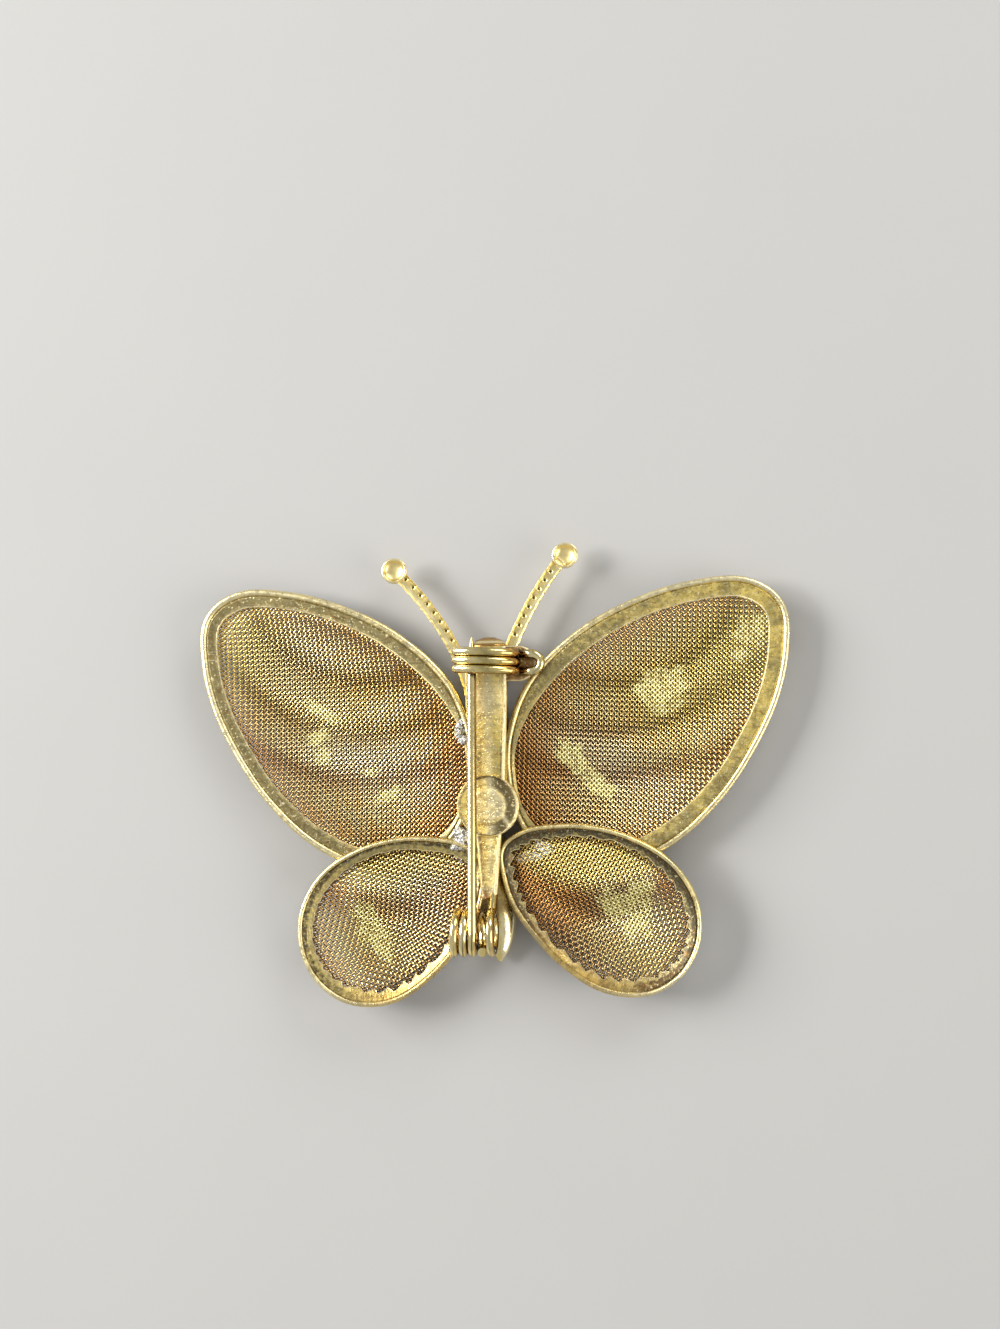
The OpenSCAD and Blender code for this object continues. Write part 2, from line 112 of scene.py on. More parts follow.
class FittingSizes(bpy.types.PropertyGroup):
    """Sizes of the pin, the catch and the antennae."""
    pin_wire: size_property("Pin wire", "Radius of the pin's stem", 0.48)
    coil_wire: size_property("Coil wire", "Radius of the coil's wire", 0.45)
    catch_wire: size_property("Catch wire", "Radius of the catch's wire", 0.44)
    strip: size_property("Antenna width", "Width of an antenna's strip", 1.3)
    cup: size_property("Cup radius", "Radius of an antenna's cup", 1.3)
    dots: bpy.props.IntProperty(
        name="Dots", description="Number of punched dots along an antenna", default=9)


class FinishColours(bpy.types.PropertyGroup):
    """Colours of the gilt metal and its wear."""
    gilt: colour_property("Gilt", "Clean gilding", (1.0, 0.78, 0.23))
    # The bright edge is also the colour of painted highlights on tops, lit sides and rims
    bright: colour_property("Bright edge", "Rubbed, bright metal", (1.0, 0.89, 0.55))
    dull: colour_property("Dull gilding", "Greyed gilding on the flanges", (0.43, 0.37, 0.17))
    brown: colour_property("Tarnish", "Brown tarnish", (0.23, 0.105, 0.022))
    solder: colour_property("Solder", "Silvery solder", (0.60, 0.61, 0.60))
    film: colour_property("Film", "Pale film in the mesh", (0.54, 0.40, 0.12))


class StageSettings(bpy.types.PropertyGroup):
    """The floor, the light and the camera's lens."""
    floor: colour_property("Floor", "Colour of the floor", (0.45, 0.446, 0.438))
    key: power_property("Key light", "Power of the large light on the left", 3.4)
    fill: power_property("Fill light", "Power of the soft light on the right", 1.7)
    lamp: power_property("Lamp", "Power of the small light on the left", 0.7)
    sky: bpy.props.FloatProperty(
        name="Room light", description="Strength of the even light from all round", default=0.46)
    lens: bpy.props.FloatProperty(
        name="Lens", description="Focal length of the camera", default=57.6, unit="CAMERA")


# Small helpers for shapes

def ease(x):
    """A soft step from 0 to 1."""
    t = np.clip(x, 0.0, 1.0)
    return t * t * (3 - 2 * t)


def bell(x, width):
    return np.exp(-(x / width) ** 2)


def around(bearing, centre, width):
    """1 at the centre's bearing in degrees, falling to 0 on both sides."""
    away = (bearing - centre + 180) % 360 - 180
    return bell(away, width)


def turned(x, y, degrees):
    """The point (x, y) turned about the origin."""
    c, s = math.cos(math.radians(degrees)), math.sin(math.radians(degrees))
    return x * c - y * s, x * s + y * c


def smooth_row(a, b, c, d, t):
    """Between b and c on a smooth curve that also heeds the rows before and after."""
    return b + 0.5 * t * (c - a + t * (2 * a - 5 * b + 4 * c - d + t * (3 * (b - c) + d - a)))


def table_curve(table, place):
    """Values of an open table at places along its first column, on a smooth curve."""
    table = np.array(table)
    keys = table[:, 0]
    place = np.clip(place, keys[0], keys[-1])
    i = np.clip(np.searchsorted(keys, place, side="right") - 1, 0, len(keys) - 2)
    t = ((place - keys[i]) / (keys[i + 1] - keys[i]))[:, None]
    last = len(keys) - 1
    a, b = table[np.maximum(i - 1, 0)], table[i]
    c, d = table[i + 1], table[np.minimum(i + 2, last)]
    return smooth_row(a, b, c, d, t)[:, 1:]


def ripple(points, scale, seed):
    """Smooth noise between about -1 and 1 at each point."""
    shift = Vector([seed * step for step in SEED_STEPS])
    return np.array([noise.noise(Vector(p) * scale + shift) for p in points])


def flat_ripple(x, y, scale, seed, level=0):
    """The same noise at points (x, y) that all lie at one level."""
    points = np.stack([x, y, np.full_like(x, level)], -1)
    return ripple(points.reshape(-1, 3), scale, seed).reshape(x.shape)


def arc_points(x, y, wide, high, start, end, count):
    """Points (x, y) on a stretch of an ellipse, between two angles in degrees."""
    angle = np.radians(np.linspace(start, end, count))
    return [(x + wide * math.cos(a), y + high * math.sin(a)) for a in angle]


def tube_faces(n, m, closed=False):
    """Faces of n rings of m points, with end caps where it doesn't close on itself."""
    faces = []
    for i in range(n if closed else n - 1):
        k = (i + 1) % n
        for j in range(m):
            q = (j + 1) % m
            faces.append((i * m + j, i * m + q, k * m + q, k * m + j))
    if not closed:
        faces.append(tuple(range(m)))
        faces.append(tuple((n - 1) * m + j for j in reversed(range(m))))
    return faces


def disc_faces(rings, steps):
    """Faces of a disc: its middle is the first point, and rings of steps points follow."""
    faces = [(0, 1 + j, 1 + (j + 1) % steps) for j in range(steps)]
    for k in range(rings - 1):
        a = 1 + k * steps
        faces += [(a + j, a + steps + j, a + steps + (j + 1) % steps, a + (j + 1) % steps)
                  for j in range(steps)]
    return faces


def linked(name, data):
    """A new object for a mesh, a curve, a light or a camera."""
    item = bpy.data.objects.new(name, data)
    bpy.context.collection.objects.link(item)
    return item


def set_marks(mesh, marks):
    """Store each mark's values, one for each point of a mesh, for its material to read."""
    for key, values in marks.items():
        layer = mesh.attributes.get(key) or mesh.attributes.new(key, "FLOAT", "POINT")
        layer.data.foreach_set("value", np.asarray(values, dtype=np.float32))


def new_mesh(name, parts, marks=None):
    """A mesh object from (points in mm, faces) parts, normals outwards; marks are per-point values."""
    points, faces, start = [], [], 0
    for part_points, part_faces in parts:
        points.append(np.asarray(part_points, dtype=float))
        faces.extend(tuple(v + start for v in face) for face in part_faces)
        start += len(part_points)
    mesh = bpy.data.meshes.new(name)
    mesh.from_pydata((np.concatenate(points) * MM).tolist(), [], faces)
    set_marks(mesh, marks or {})
    work = bmesh.new()
    work.from_mesh(mesh)
    bmesh.ops.recalc_face_normals(work, faces=work.faces)
    work.to_mesh(mesh)
    work.free()
    mesh.shade_smooth()
    mesh.set_sharp_from_angle(angle=math.radians(SHARP_ANGLE))
    return linked(name, mesh)


def finish_piece(piece, body, node, material):
    """Give a piece its material and the body that it moves with, and hide the imported part of the node that
    it stands for.
    """
    piece.data.materials.clear()
    piece.data.materials.append(material)
    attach(piece, body)
    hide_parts(node)


# The wings' shapes

class Wing:
    """One wing's outline, flange and mesh panel."""

    def __init__(self, middle, length, width, turn, shape, side, flange, back, depth, lay):
        self.middle, self.length, self.width, self.turn = middle, length, width, turn
        self.centre = np.array([side * middle[0], middle[1]])
        self.shape, self.side, self.flange = np.array(shape), side, flange
        self.back, self.depth, self.lay = back, depth, lay
        self.fore = back == FORE_Z

    def share(self, column, bearing):
        """A column of the outline's table at each bearing, on a smooth closed curve."""
        s = np.asarray(bearing) / BEARING_STEP
        i = np.floor(s).astype(int)
        col, n = self.shape[:, column], len(self.shape)
        return smooth_row(col[(i - 1) % n], col[i % n], col[(i + 1) % n], col[(i + 2) % n], s - i)

    def outline(self, bearing):
        b = np.radians(bearing)
        r = self.share(0, bearing)
        x, y = turned(self.length / 2 * r * np.cos(b), self.width / 2 * r * np.sin(b), self.turn)
        return np.stack([self.side * (self.middle[0] + x), self.middle[1] + y], -1)

    def inset(self, bearing, distance):
        """The outline moved in by the distance."""
        t = self.outline(bearing + 1) - self.outline(bearing - 1)
        t /= np.linalg.norm(t, axis=-1)[:, None]
        distance = np.broadcast_to(distance, (len(t),))[:, None]
        return self.outline(bearing) + distance * self.side * np.stack([-t[:, 1], t[:, 0]], -1)

    def flange_width(self, bearing):
        return self.flange * self.share(1, bearing)

    def place(self, spots):
        """How far out each spot lies in the wing, 1 on its outline."""
        x, y = turned(self.side * spots[:, 0] - self.middle[0], spots[:, 1] - self.middle[1], -self.turn)
        u, v = 2 * x / self.length, 2 * y / self.width
        bearing = np.degrees(np.arctan2(v, u)) % 360
        return np.hypot(u, v) / self.share(0, bearing)

    def reach(self, spots, distance):
        """How far out each spot lies in the outline moved in by the distance."""
        edge = self.inset(np.arange(0, 360, 2.0), distance) - self.centre
        order = np.argsort(np.arctan2(edge[:, 1], edge[:, 0]))
        angle = np.arctan2(edge[order, 1], edge[order, 0])
        away = spots - self.centre
        limit = np.interp(np.arctan2(away[:, 1], away[:, 0]), angle,
                          np.linalg.norm(edge[order], axis=1), period=2 * math.pi)
        return np.linalg.norm(away, axis=1) / limit


# Heights of the wings' backs, thicknesses of the flange and the mesh and the gap between them, the
# width of a rim's wall, and the gap between a mesh and the floor
FORE_Z, HIND_Z = 3.3, 4.4
FLANGE_T, MESH_T, MESH_GAP, WALL_W, FLOOR_GAP = 0.4, 0.36, 0.06, 0.75, 0.05
# Bulge of the panels, and where a hindwing's begins and is full, beyond the forewing's outline
FLAT_SHARE, BULGE_POWER, HIND_BULGE, COVER_START, COVER_RUN = 0.88, 2.4, 2.6, 1.02, 0.4
# Pressed folds of a forewing: rings about one spot, each with a crease just outside it
FOLD_SPOT, FOLDS, FOLD_WIDTH, FOLD_H = np.array([12.8, 22.1]), [10.8, 15.8, 20.4], 1.5, 0.3
CREASE_OUT, CREASE_WIDTH, CREASE_DEEP = 2.2, 1.0, 0.18
# Middle, length, width, turn, outline, side, flange width, height of the back, depth, lay of the weave
WINGS = {
    "forewing_right": Wing((16.25, 5.6), 34.8, 22.6, 39, FORE_SHAPE, 1, 2.1, FORE_Z, 1.05, 42),
    "forewing_left": Wing((16.25, 5.6), 34.8, 22.6, 39, FORE_SHAPE, -1, 1.85, FORE_Z, 1.05, -43),
    "hindwing_right": Wing((10.5, -12.85), 22.3, 15.2, -30, HIND_SHAPE, 1, 1.35, HIND_Z, 1.2, -32),
    "hindwing_left": Wing((9.75, -13.95), 21.5, 15.5, -30, HIND_SHAPE, -1, 1.35, HIND_Z, 1.2, -57),
}


def mesh_node(key):
    """The node of a wing's mesh panel."""
    return key.replace("wing_", "wing_mesh_")


def fold_distance(wing, spots):
    return np.linalg.norm(spots - FOLD_SPOT * [wing.side, 1], axis=1)


def crease_lines(away, width):
    """1 along each crease, falling to 0 beside it."""
    return sum(bell(away - r - CREASE_OUT, width) for r in FOLDS)


def past_forewing(wing, spots):
    """How far each spot of a hindwing lies beyond the forewing's outline, as a share."""
    over = WINGS["forewing_right" if wing.side > 0 else "forewing_left"]
    return over.place(spots)


def panel_height(wing, spots):
    """Height of the middle of a wing's mesh at each spot."""
    level = wing.back - FLANGE_T - MESH_GAP - MESH_T / 2
    f = wing.reach(spots, WALL_W + MESH_GAP)
    bulge = 1 - np.minimum(f / FLAT_SHARE, 1) ** BULGE_POWER
    if wing.fore:
        away = fold_distance(wing, spots)
        fold = FOLD_H * sum(bell(away - r, FOLD_WIDTH) for r in FOLDS)
        crease = CREASE_DEEP * crease_lines(away, CREASE_WIDTH)
        return level - (level - MESH_T / 2 - FLOOR_GAP - fold + crease) * bulge
    return level - HIND_BULGE * bulge * ease((past_forewing(wing, spots) - COVER_START) / COVER_RUN)


# Materials

# Fixed colours: soot for dirt and painted shade, tan for stains and painted brown shade, and painted shade in
# hollows
SOOT_AND_SHADE, TAN_AND_SHADE, PAINTED_SHADE_COLOUR = (0.075, 0.064, 0.042), (0.42, 0.20, 0.045), (0.06, 0.03, 0.010)
# Colours of the woven wire: pale gilding and the tone that it drifts to, then tarnish with painted shade,
# yellow and pale stretches, wire under a film, and the painted shade of the wires' flanks, creases and tabs
WIRE_LIGHT, WIRE_DEEP, WIRE_WARM = (1.0, 0.86, 0.43), (1.0, 0.73, 0.30), (0.78, 0.40, 0.12)
WIRE_YELLOW, WIRE_PALE = (1.0, 0.80, 0.24), (0.97, 0.88, 0.64)
WIRE_FILMED, WIRE_FLANK_SHADE = (1.0, 0.93, 0.50), (0.060, 0.022, 0.006)
# Bright parts of a film and dark blotches that paint shade in its holes, and the dark ground and bright
# specks of solder
FILM_BRIGHT, FILM_SHADE = (0.88, 0.76, 0.38), (0.15, 0.08, 0.02)
SOLDER_DARK, SOLDER_SPECK = (0.16, 0.14, 0.10), (0.86, 0.89, 0.93)
# Shares of tarnish and speckles, brushing as scales along the axes and a turn, least and most roughness,
# pits, greyed gilding, soot with painted shade and depth of the fine relief in mm
GILT_FINISHES = {
    "Worn gilt flange": {"grime": 0.55, "speckle": 0.9, "brushed": (0.8, 5, 1, 35), "rough": (0.22, 0.42),
                         "pitted": 0.35, "soot_and_shade": 0.5, "bumpy": 0.03},
    "Tarnished gilt flange": {"grime": 0.6, "speckle": 0.45, "brushed": (7, 1.2, 1, -8),
                              "rough": (0.22, 0.42), "soot_and_shade": 0.95, "bumpy": 0.035},
    "Tarnished gilt body": {"grime": 0.4, "speckle": 0.15, "rough": (0.10, 0.22), "dull": 0.2,
                            "bumpy": 0.02},
    "Bright gilt strip": {"grime": 0.4, "speckle": 0.12, "rough": (0.26, 0.38), "dull": 0.1,
                          "bumpy": 0.02},
    "Brushed gilt bar": {"grime": 0.45, "speckle": 1.0, "brushed": (0.6, 4.5, 1, 0), "rough": (0.34, 0.56),
                         "pitted": 0.8, "dull": 0.3, "soot_and_shade": 0.7},
    "Gilt drawn wire": {"grime": 0.35, "speckle": 0.1, "rough": (0.07, 0.18), "dull": 0.3, "bumpy": 0.015},
    "Worn gilt catch wire": {"grime": 0.45, "speckle": 0.12, "rough": (0.07, 0.17), "dull": 0.3,
                             "bumpy": 0.015},
    "Polished gilt pin": {"grime": 0.3, "speckle": 0.1, "rough": (0.07, 0.16), "dull": 0.25,
                          "bumpy": 0.012},
}


class Recipe:
    """A node material for metal, built step by step over a first colour."""

    def __init__(self, name, colour):
        self.material = bpy.data.materials.new(name)
        self.material.use_nodes = True
        self.nodes, self.links = self.material.node_tree.nodes, self.material.node_tree.links
        self.shader = next(n for n in self.nodes if n.type == "BSDF_PRINCIPLED")
        self.coords = self.nodes.new("ShaderNodeTexCoord").outputs["Object"]
        self.colour = colour

    def put(self, socket, value):
        """Link a node's output to a socket, or set the socket to a number or a colour."""
        if isinstance(value, bpy.types.NodeSocket):
            self.links.new(value, socket)
        elif socket.type == "RGBA" and len(value) == 3:
            socket.default_value = (*value, 1)
        else:
            socket.default_value = value

    def stretched(self, x, y, z, turn=0):
        """Object coordinates scaled along each axis, for brushed and scratched metal."""
        node = self.nodes.new("ShaderNodeMapping")
        node.inputs["Rotation"].default_value[2] = math.radians(turn)
        node.inputs["Scale"].default_value = (x, y, z)
        self.links.new(self.coords, node.inputs["Vector"])
        return node.outputs["Vector"]

    def noise(self, per_mm, detail=3, rough=0.55, coords=None, warp=0):
        """Noise with about that many grains per millimetre."""
        node = self.nodes.new("ShaderNodeTexNoise")
        node.inputs["Scale"].default_value = per_mm / MM
        node.inputs["Detail"].default_value = detail
        node.inputs["Roughness"].default_value = rough
        node.inputs["Distortion"].default_value = warp
        self.links.new(coords or self.coords, node.inputs["Vector"])
        return node.outputs["Fac"]

    def pits(self, per_mm):
        """Distance from the nearest of scattered spots."""
        node = self.nodes.new("ShaderNodeTexVoronoi")
        node.inputs["Scale"].default_value = per_mm / MM
        self.links.new(self.coords, node.inputs["Vector"])
        return node.outputs["Distance"]

    def mark(self, name):
        """The value that each point of the mesh holds under that name."""
        node = self.nodes.new("ShaderNodeAttribute")
        node.attribute_name = name
        return node.outputs["Fac"]

    def spread(self, value, low, high, to_low=0.0, to_high=1.0):
        """The value's range from low to high, stretched to a new range with soft ends."""
        node = self.nodes.new("ShaderNodeMapRange")
        node.interpolation_type = "SMOOTHSTEP"
        self.put(node.inputs["Value"], value)
        for key, number in zip(("From Min", "From Max", "To Min", "To Max"), (low, high, to_low, to_high)):
            node.inputs[key].default_value = number
        return node.outputs["Result"]

    def sum(self, kind, a, b):
        node = self.nodes.new("ShaderNodeMath")
        node.operation = kind
        self.put(node.inputs[0], a)
        self.put(node.inputs[1], b)
        return node.outputs["Value"]

    def tint(self, colour, amount):
        """Mix another colour over the colour so far."""
        node = self.nodes.new("ShaderNodeMix")
        node.data_type = "RGBA"
        self.put(node.inputs["Factor"], amount)
        self.put(node.inputs[6], self.colour)
        self.put(node.inputs[7], colour)
        self.colour = node.outputs[2]

    def relief(self, height, depth, strength=1.0, under=None):
        """Bump from a height of 0 to 1 that is depth millimetres deep."""
        node = self.nodes.new("ShaderNodeBump")
        node.inputs["Strength"].default_value = strength
        node.inputs["Distance"].default_value = depth * MM
        self.links.new(height, node.inputs["Height"])
        if under is not None:
            self.links.new(under, node.inputs["Normal"])
        return node.outputs["Normal"]

    def done(self, rough, normal=None, metal=1.0):
        self.put(self.shader.inputs["Base Color"], self.colour)
        self.put(self.shader.inputs["Roughness"], rough)
        self.put(self.shader.inputs["Metallic"], metal)
        if normal is not None:
            self.links.new(normal, self.shader.inputs["Normal"])
        return self.material


def gilt_material(name, colours, grime, speckle, rough, brushed=None, pitted=0.0, dull=0.7, soot_and_shade=0.0,
                  bumpy=0.06):
    """Worn gilding: tarnish, dirt and painted shade, rubbing and painted highlights from the points' marks,
    speckles, pits and scratches.
    """
    r = Recipe(name, colours.gilt)
    broad = r.noise(0.35, 4, 0.6, warp=0.6)
    fine = r.noise(2.6, 5, 0.65)
    grain = r.noise(5, 3, 0.65)
    # Greyed areas, then dirt and painted shade that turn to soot, and tan stains with painted brown shade
    r.tint(colours.dull, r.spread(broad, 0.42, 0.62, 0.0, dull))
    soil_and_shade = r.sum("MULTIPLY", r.mark("grime"), r.spread(fine, 0.30, 0.62, 0.55, 1.25))
    r.tint(colours.dull, r.spread(soil_and_shade, 0.05, 0.75, 0.0, 0.9))
    r.tint(SOOT_AND_SHADE, r.spread(soil_and_shade, 0.35, 0.85, 0.0, soot_and_shade))
    r.tint(TAN_AND_SHADE, r.mark("tan"))
    # Brown clouds, dark and bright speckles, rubbed edges with painted highlights, and painted shade in
    # hollows
    stain = r.spread(r.noise(1.1, 5, 0.6, warp=1.0), 0.50, 0.72)
    r.tint(colours.brown, r.sum("MULTIPLY", stain, grime))
    r.tint(colours.brown, r.sum("MULTIPLY", r.spread(grain, 0.56, 0.70), speckle))
    light = r.spread(r.noise(3.8, 3, 0.6), 0.58, 0.68)
    r.tint(colours.bright, r.sum("MULTIPLY", light, speckle))
    r.tint(colours.bright, r.sum("MULTIPLY", r.mark("worn"), r.spread(fine, 0.30, 0.55, 0.75, 1.0)))
    r.tint(PAINTED_SHADE_COLOUR, r.mark("deep"))
    # Dirt and painted shade are duller, and a fine relief breaks the gloss
    gloss = r.spread(r.noise(1.7, 4, 0.6), 0.35, 0.65, *rough)
    gloss = r.sum("ADD", gloss, r.sum("MULTIPLY", soil_and_shade, 0.14))
    height = r.sum("ADD", r.sum("MULTIPLY", grain, 0.5), r.sum("MULTIPLY", fine, 0.6))
    if pitted:
        height = r.sum("ADD", height, r.spread(r.pits(3.2), 0.05, 0.32, -pitted, 0.0))
    normal = r.relief(height, bumpy, 0.85)
    if brushed:
        lines = r.noise(1.0, 3, 0.7, coords=r.stretched(*brushed))
        normal = r.relief(lines, 0.035, 0.8, under=normal)
        r.tint(colours.bright, r.spread(lines, 0.58, 0.72, 0.0, 0.35))
        r.tint(colours.brown, r.spread(lines, 0.44, 0.30, 0.0, 0.35))
    return r.done(gloss, normal)


def wire_mesh_material(name, colours):
    """Woven gilt wire: warm tarnish, painted shade, pale and yellow stretches come from the wires' own marks.
    """
    r = Recipe(name, WIRE_LIGHT)
    r.tint(WIRE_DEEP, r.spread(r.noise(0.6, 4, 0.6), 0.38, 0.64))
    r.tint(WIRE_WARM, r.mark("warm_and_shade"))
    r.tint(WIRE_YELLOW, r.mark("yellow"))
    r.tint(WIRE_PALE, r.mark("pale"))
    r.tint(colours.brown, r.spread(r.noise(2.5, 3, 0.6), 0.60, 0.75, 0.0, 0.5))
    r.tint(WIRE_FILMED, r.mark("film"))
    # Painted shade on the wires' flanks, in the forewings' creases and along the hindwings' tabs
    r.tint(WIRE_FLANK_SHADE, r.mark("under"))
    gloss = r.spread(r.noise(1.6, 3, 0.6), 0.35, 0.65, 0.12, 0.20)
    return r.done(r.sum("ADD", gloss, r.sum("MULTIPLY", r.mark("film"), 0.25)))


def film_material(name, colours):
    """A thin pale film that fills the mesh in patches."""
    r = Recipe(name, colours.film)
    cloud = r.noise(1.4, 5, 0.65, warp=0.8)
    r.tint(FILM_BRIGHT, r.spread(cloud, 0.46, 0.64))
    # Dark blotches paint the shade of the mesh's holes on the film
    r.tint(FILM_SHADE, r.spread(r.noise(2.2, 4, 0.7), 0.44, 0.58, 0.0, 0.85))
    return r.done(r.spread(cloud, 0.3, 0.7, 0.22, 0.42), r.relief(r.noise(5, 4, 0.7), 0.08, 0.9), 0.8)


def solder_material(name, colours):
    """Silvery solder with a frosted, crackled skin."""
    r = Recipe(name, SOLDER_DARK)
    skin = r.noise(3.0, 5, 0.7, warp=0.6)
    specks = r.noise(3.6, 3, 0.65)
    r.tint(colours.solder, r.spread(specks, 0.42, 0.54))
    r.tint(SOLDER_SPECK, r.spread(specks, 0.56, 0.64))
    r.tint(colours.dull, r.spread(r.noise(0.9, 3, 0.6), 0.50, 0.62, 0.0, 0.7))
    return r.done(r.spread(skin, 0.35, 0.65, 0.26, 0.48), r.relief(r.noise(5, 4, 0.7), 0.10, 1.0), 0.9)


def made(name, make, colours, **values):
    """The material of that name, made on first use."""
    return bpy.data.materials.get(name) or make(name, colours, **values)


def gilt(name, colours):
    """The gilt finish of that name."""
    return made(name, gilt_material, colours, **GILT_FINISHES[name])


# Geometry Nodes trees

class Tree:
    """A Geometry Nodes tree with named inputs."""

    def __init__(self, name, inputs):
        self.group = bpy.data.node_groups.new(name, "GeometryNodeTree")
        face = self.group.interface
        face.new_socket("Geometry", in_out="INPUT", socket_type="NodeSocketGeometry")
        for key, kind, default in inputs:
            socket = face.new_socket(key, in_out="INPUT", socket_type="NodeSocket" + kind)
            if default is not None:
                socket.default_value = default
        face.new_socket("Geometry", in_out="OUTPUT", socket_type="NodeSocketGeometry")
        self.entry = self.add("NodeGroupInput").outputs
        self.exit = self.add("NodeGroupOutput").inputs

    def add(self, kind, settings=None, **sockets):
        node = self.group.nodes.new(kind)
        for key, value in (settings or {}).items():
            setattr(node, key, value)
        for key, value in sockets.items():
            self.put(node.inputs[key.replace("_", " ")], value)
        return node

    def put(self, socket, value):
        if isinstance(value, bpy.types.NodeSocket):
            self.group.links.new(value, socket)
        else:
            socket.default_value = value

    def sum(self, kind, a, b=None):
        node = self.add("ShaderNodeMath", {"operation": kind})
        self.put(node.inputs[0], a)
        if b is not None:
            self.put(node.inputs[1], b)
        return node.outputs[0]

    def vector(self, x=0.0, y=0.0, z=0.0):
        return self.add("ShaderNodeCombineXYZ", X=x, Y=y, Z=z).outputs[0]

    def vector_sum(self, kind, a, b):
        node = self.add("ShaderNodeVectorMath", {"operation": kind})
        self.put(node.inputs[0], a)
        self.put(node.inputs["Scale" if kind == "SCALE" else 1], b)
        return node.outputs[0]

    def close(self, shape, material):
        """Ends the tree in Realize Instances and Set Material."""
        real = self.add("GeometryNodeRealizeInstances", Geometry=shape).outputs[0]
        last = self.add("GeometryNodeSetMaterial", Geometry=real, Material=material).outputs[0]
        self.put(self.exit[0], last)
        return self.group


# How often a woven wire strays on its way, and what spreads the noise's middle values out to -1 and 1
STRAY_PER_MM, STRAY_SPREAD = 0.22, 3.0
# Height from which the weave is dropped onto its panel
DROP_FROM = 20


def woven_wire_tree():
    """Plain weave of wires laid over the input surface."""
    t = Tree("Woven wire", [
        ("Pitch", "Float", 0.36 * MM), ("Wire Radius", "Float", 0.1 * MM), ("Wires", "Int", 90),
        ("Lay", "Float", 0.0), ("Centre", "Vector", (0, 0, 0)), ("Wander", "Float", 0.0),
        ("Sides", "Int", 5), ("Seed", "Float", 0.0), ("Crimp", "Float", 1.6),
        ("Material", "Material", None)])
    pitch, radius, wires = t.entry["Pitch"], t.entry["Wire Radius"], t.entry["Wires"]
    # Rows of wire a pitch apart, each with two points to a pitch
    start = t.sum("MULTIPLY", t.sum("MULTIPLY", wires, pitch), -0.5)
    along = t.add("GeometryNodeMeshLine", {"mode": "OFFSET"},
                  Count=t.sum("MULTIPLY_ADD", wires, 2.0), Start_Location=t.vector(x=start),
                  Offset=t.vector(x=t.sum("MULTIPLY", pitch, 0.5))).outputs[0]
    across = t.add("GeometryNodeMeshLine", {"mode": "OFFSET"}, Count=t.sum("ADD", wires, 1.0),
                   Start_Location=t.vector(y=start), Offset=t.vector(y=pitch)).outputs[0]
    rows = t.add("GeometryNodeInstanceOnPoints", Points=across, Instance=along).outputs[0]
    rows = t.add("GeometryNodeRealizeInstances", Geometry=rows).outputs[0]
    # Each wire goes over and under; the more crimped set of the two goes higher and lower
    spot = t.add("ShaderNodeSeparateXYZ", Vector=t.add("GeometryNodeInputPosition").outputs[0])
    phase = t.sum("MULTIPLY", t.sum("DIVIDE", t.sum("ADD", spot.outputs[0], spot.outputs[1]), pitch), math.pi)
    wave = t.sum("MULTIPLY", t.sum("COSINE", phase), radius)
    high = t.sum("MULTIPLY", wave, t.entry["Crimp"])
    low = t.sum("MULTIPLY", wave, t.sum("SUBTRACT", 2.0, t.entry["Crimp"]))
    warp = t.add("GeometryNodeSetPosition", Geometry=rows, Offset=t.vector(z=high)).outputs[0]
    weft = t.add("GeometryNodeSetPosition", Geometry=rows, Offset=t.vector(z=low)).outputs[0]
    weft = t.add("GeometryNodeTransform", Geometry=weft, Rotation=(0, 0, math.pi / 2),
                 Scale=(1, 1, -1)).outputs[0]
    both = t.add("GeometryNodeJoinGeometry")
    t.put(both.inputs[0], warp)
    t.put(both.inputs[0], weft)
    laid = t.add("GeometryNodeTransform", Geometry=both.outputs[0], Rotation=t.vector(z=t.entry["Lay"]),
                 Translation=t.entry["Centre"]).outputs[0]
    # The wires stray a little from straight lines
    place = t.add("GeometryNodeInputPosition").outputs[0]
    source = t.add("ShaderNodeTexNoise", {"noise_dimensions": "4D"}, W=t.entry["Seed"],
                   Scale=STRAY_PER_MM / MM, Detail=2.0, Vector=place)
    stray = t.vector_sum("SUBTRACT", source.outputs["Color"], (0.5, 0.5, 0.5))
    reach = t.sum("MULTIPLY", t.entry["Wander"], STRAY_SPREAD)
    laid = t.add("GeometryNodeSetPosition", Geometry=laid,
                 Offset=t.vector_sum("MULTIPLY", stray, t.vector(reach, reach))).outputs[0]
    # Each point drops onto the surface, and what misses it goes
    where = t.add("ShaderNodeSeparateXYZ", Vector=t.add("GeometryNodeInputPosition").outputs[0])
    above = t.vector(where.outputs[0], where.outputs[1], DROP_FROM * MM)
    drop = t.add("GeometryNodeRaycast", Target_Geometry=t.entry["Geometry"], Source_Position=above,
                 Ray_Direction=(0, 0, -1), Ray_Length=2 * DROP_FROM * MM)
    missed = t.add("FunctionNodeBooleanMath", {"operation": "NOT"})
    t.put(missed.inputs[0], drop.outputs["Is Hit"])
    kept = t.add("GeometryNodeDeleteGeometry", {"domain": "POINT"}, Geometry=laid,
                 Selection=missed.outputs[0]).outputs[0]
    lift = t.vector_sum("SCALE", drop.outputs["Hit Normal"], where.outputs[2])
    seat = t.vector_sum("ADD", drop.outputs["Hit Position"], lift)
    seated = t.add("GeometryNodeSetPosition", Geometry=kept, Position=seat).outputs[0]
    curve = t.add("GeometryNodeMeshToCurve", Mesh=seated).outputs[0]
    ring = t.add("GeometryNodeCurvePrimitiveCircle", Resolution=t.entry["Sides"], Radius=radius).outputs[0]
    wire = t.add("GeometryNodeCurveToMesh", Curve=curve, Profile_Curve=ring, Fill_Caps=True).outputs[0]
    return t.close(wire, t.entry["Material"])


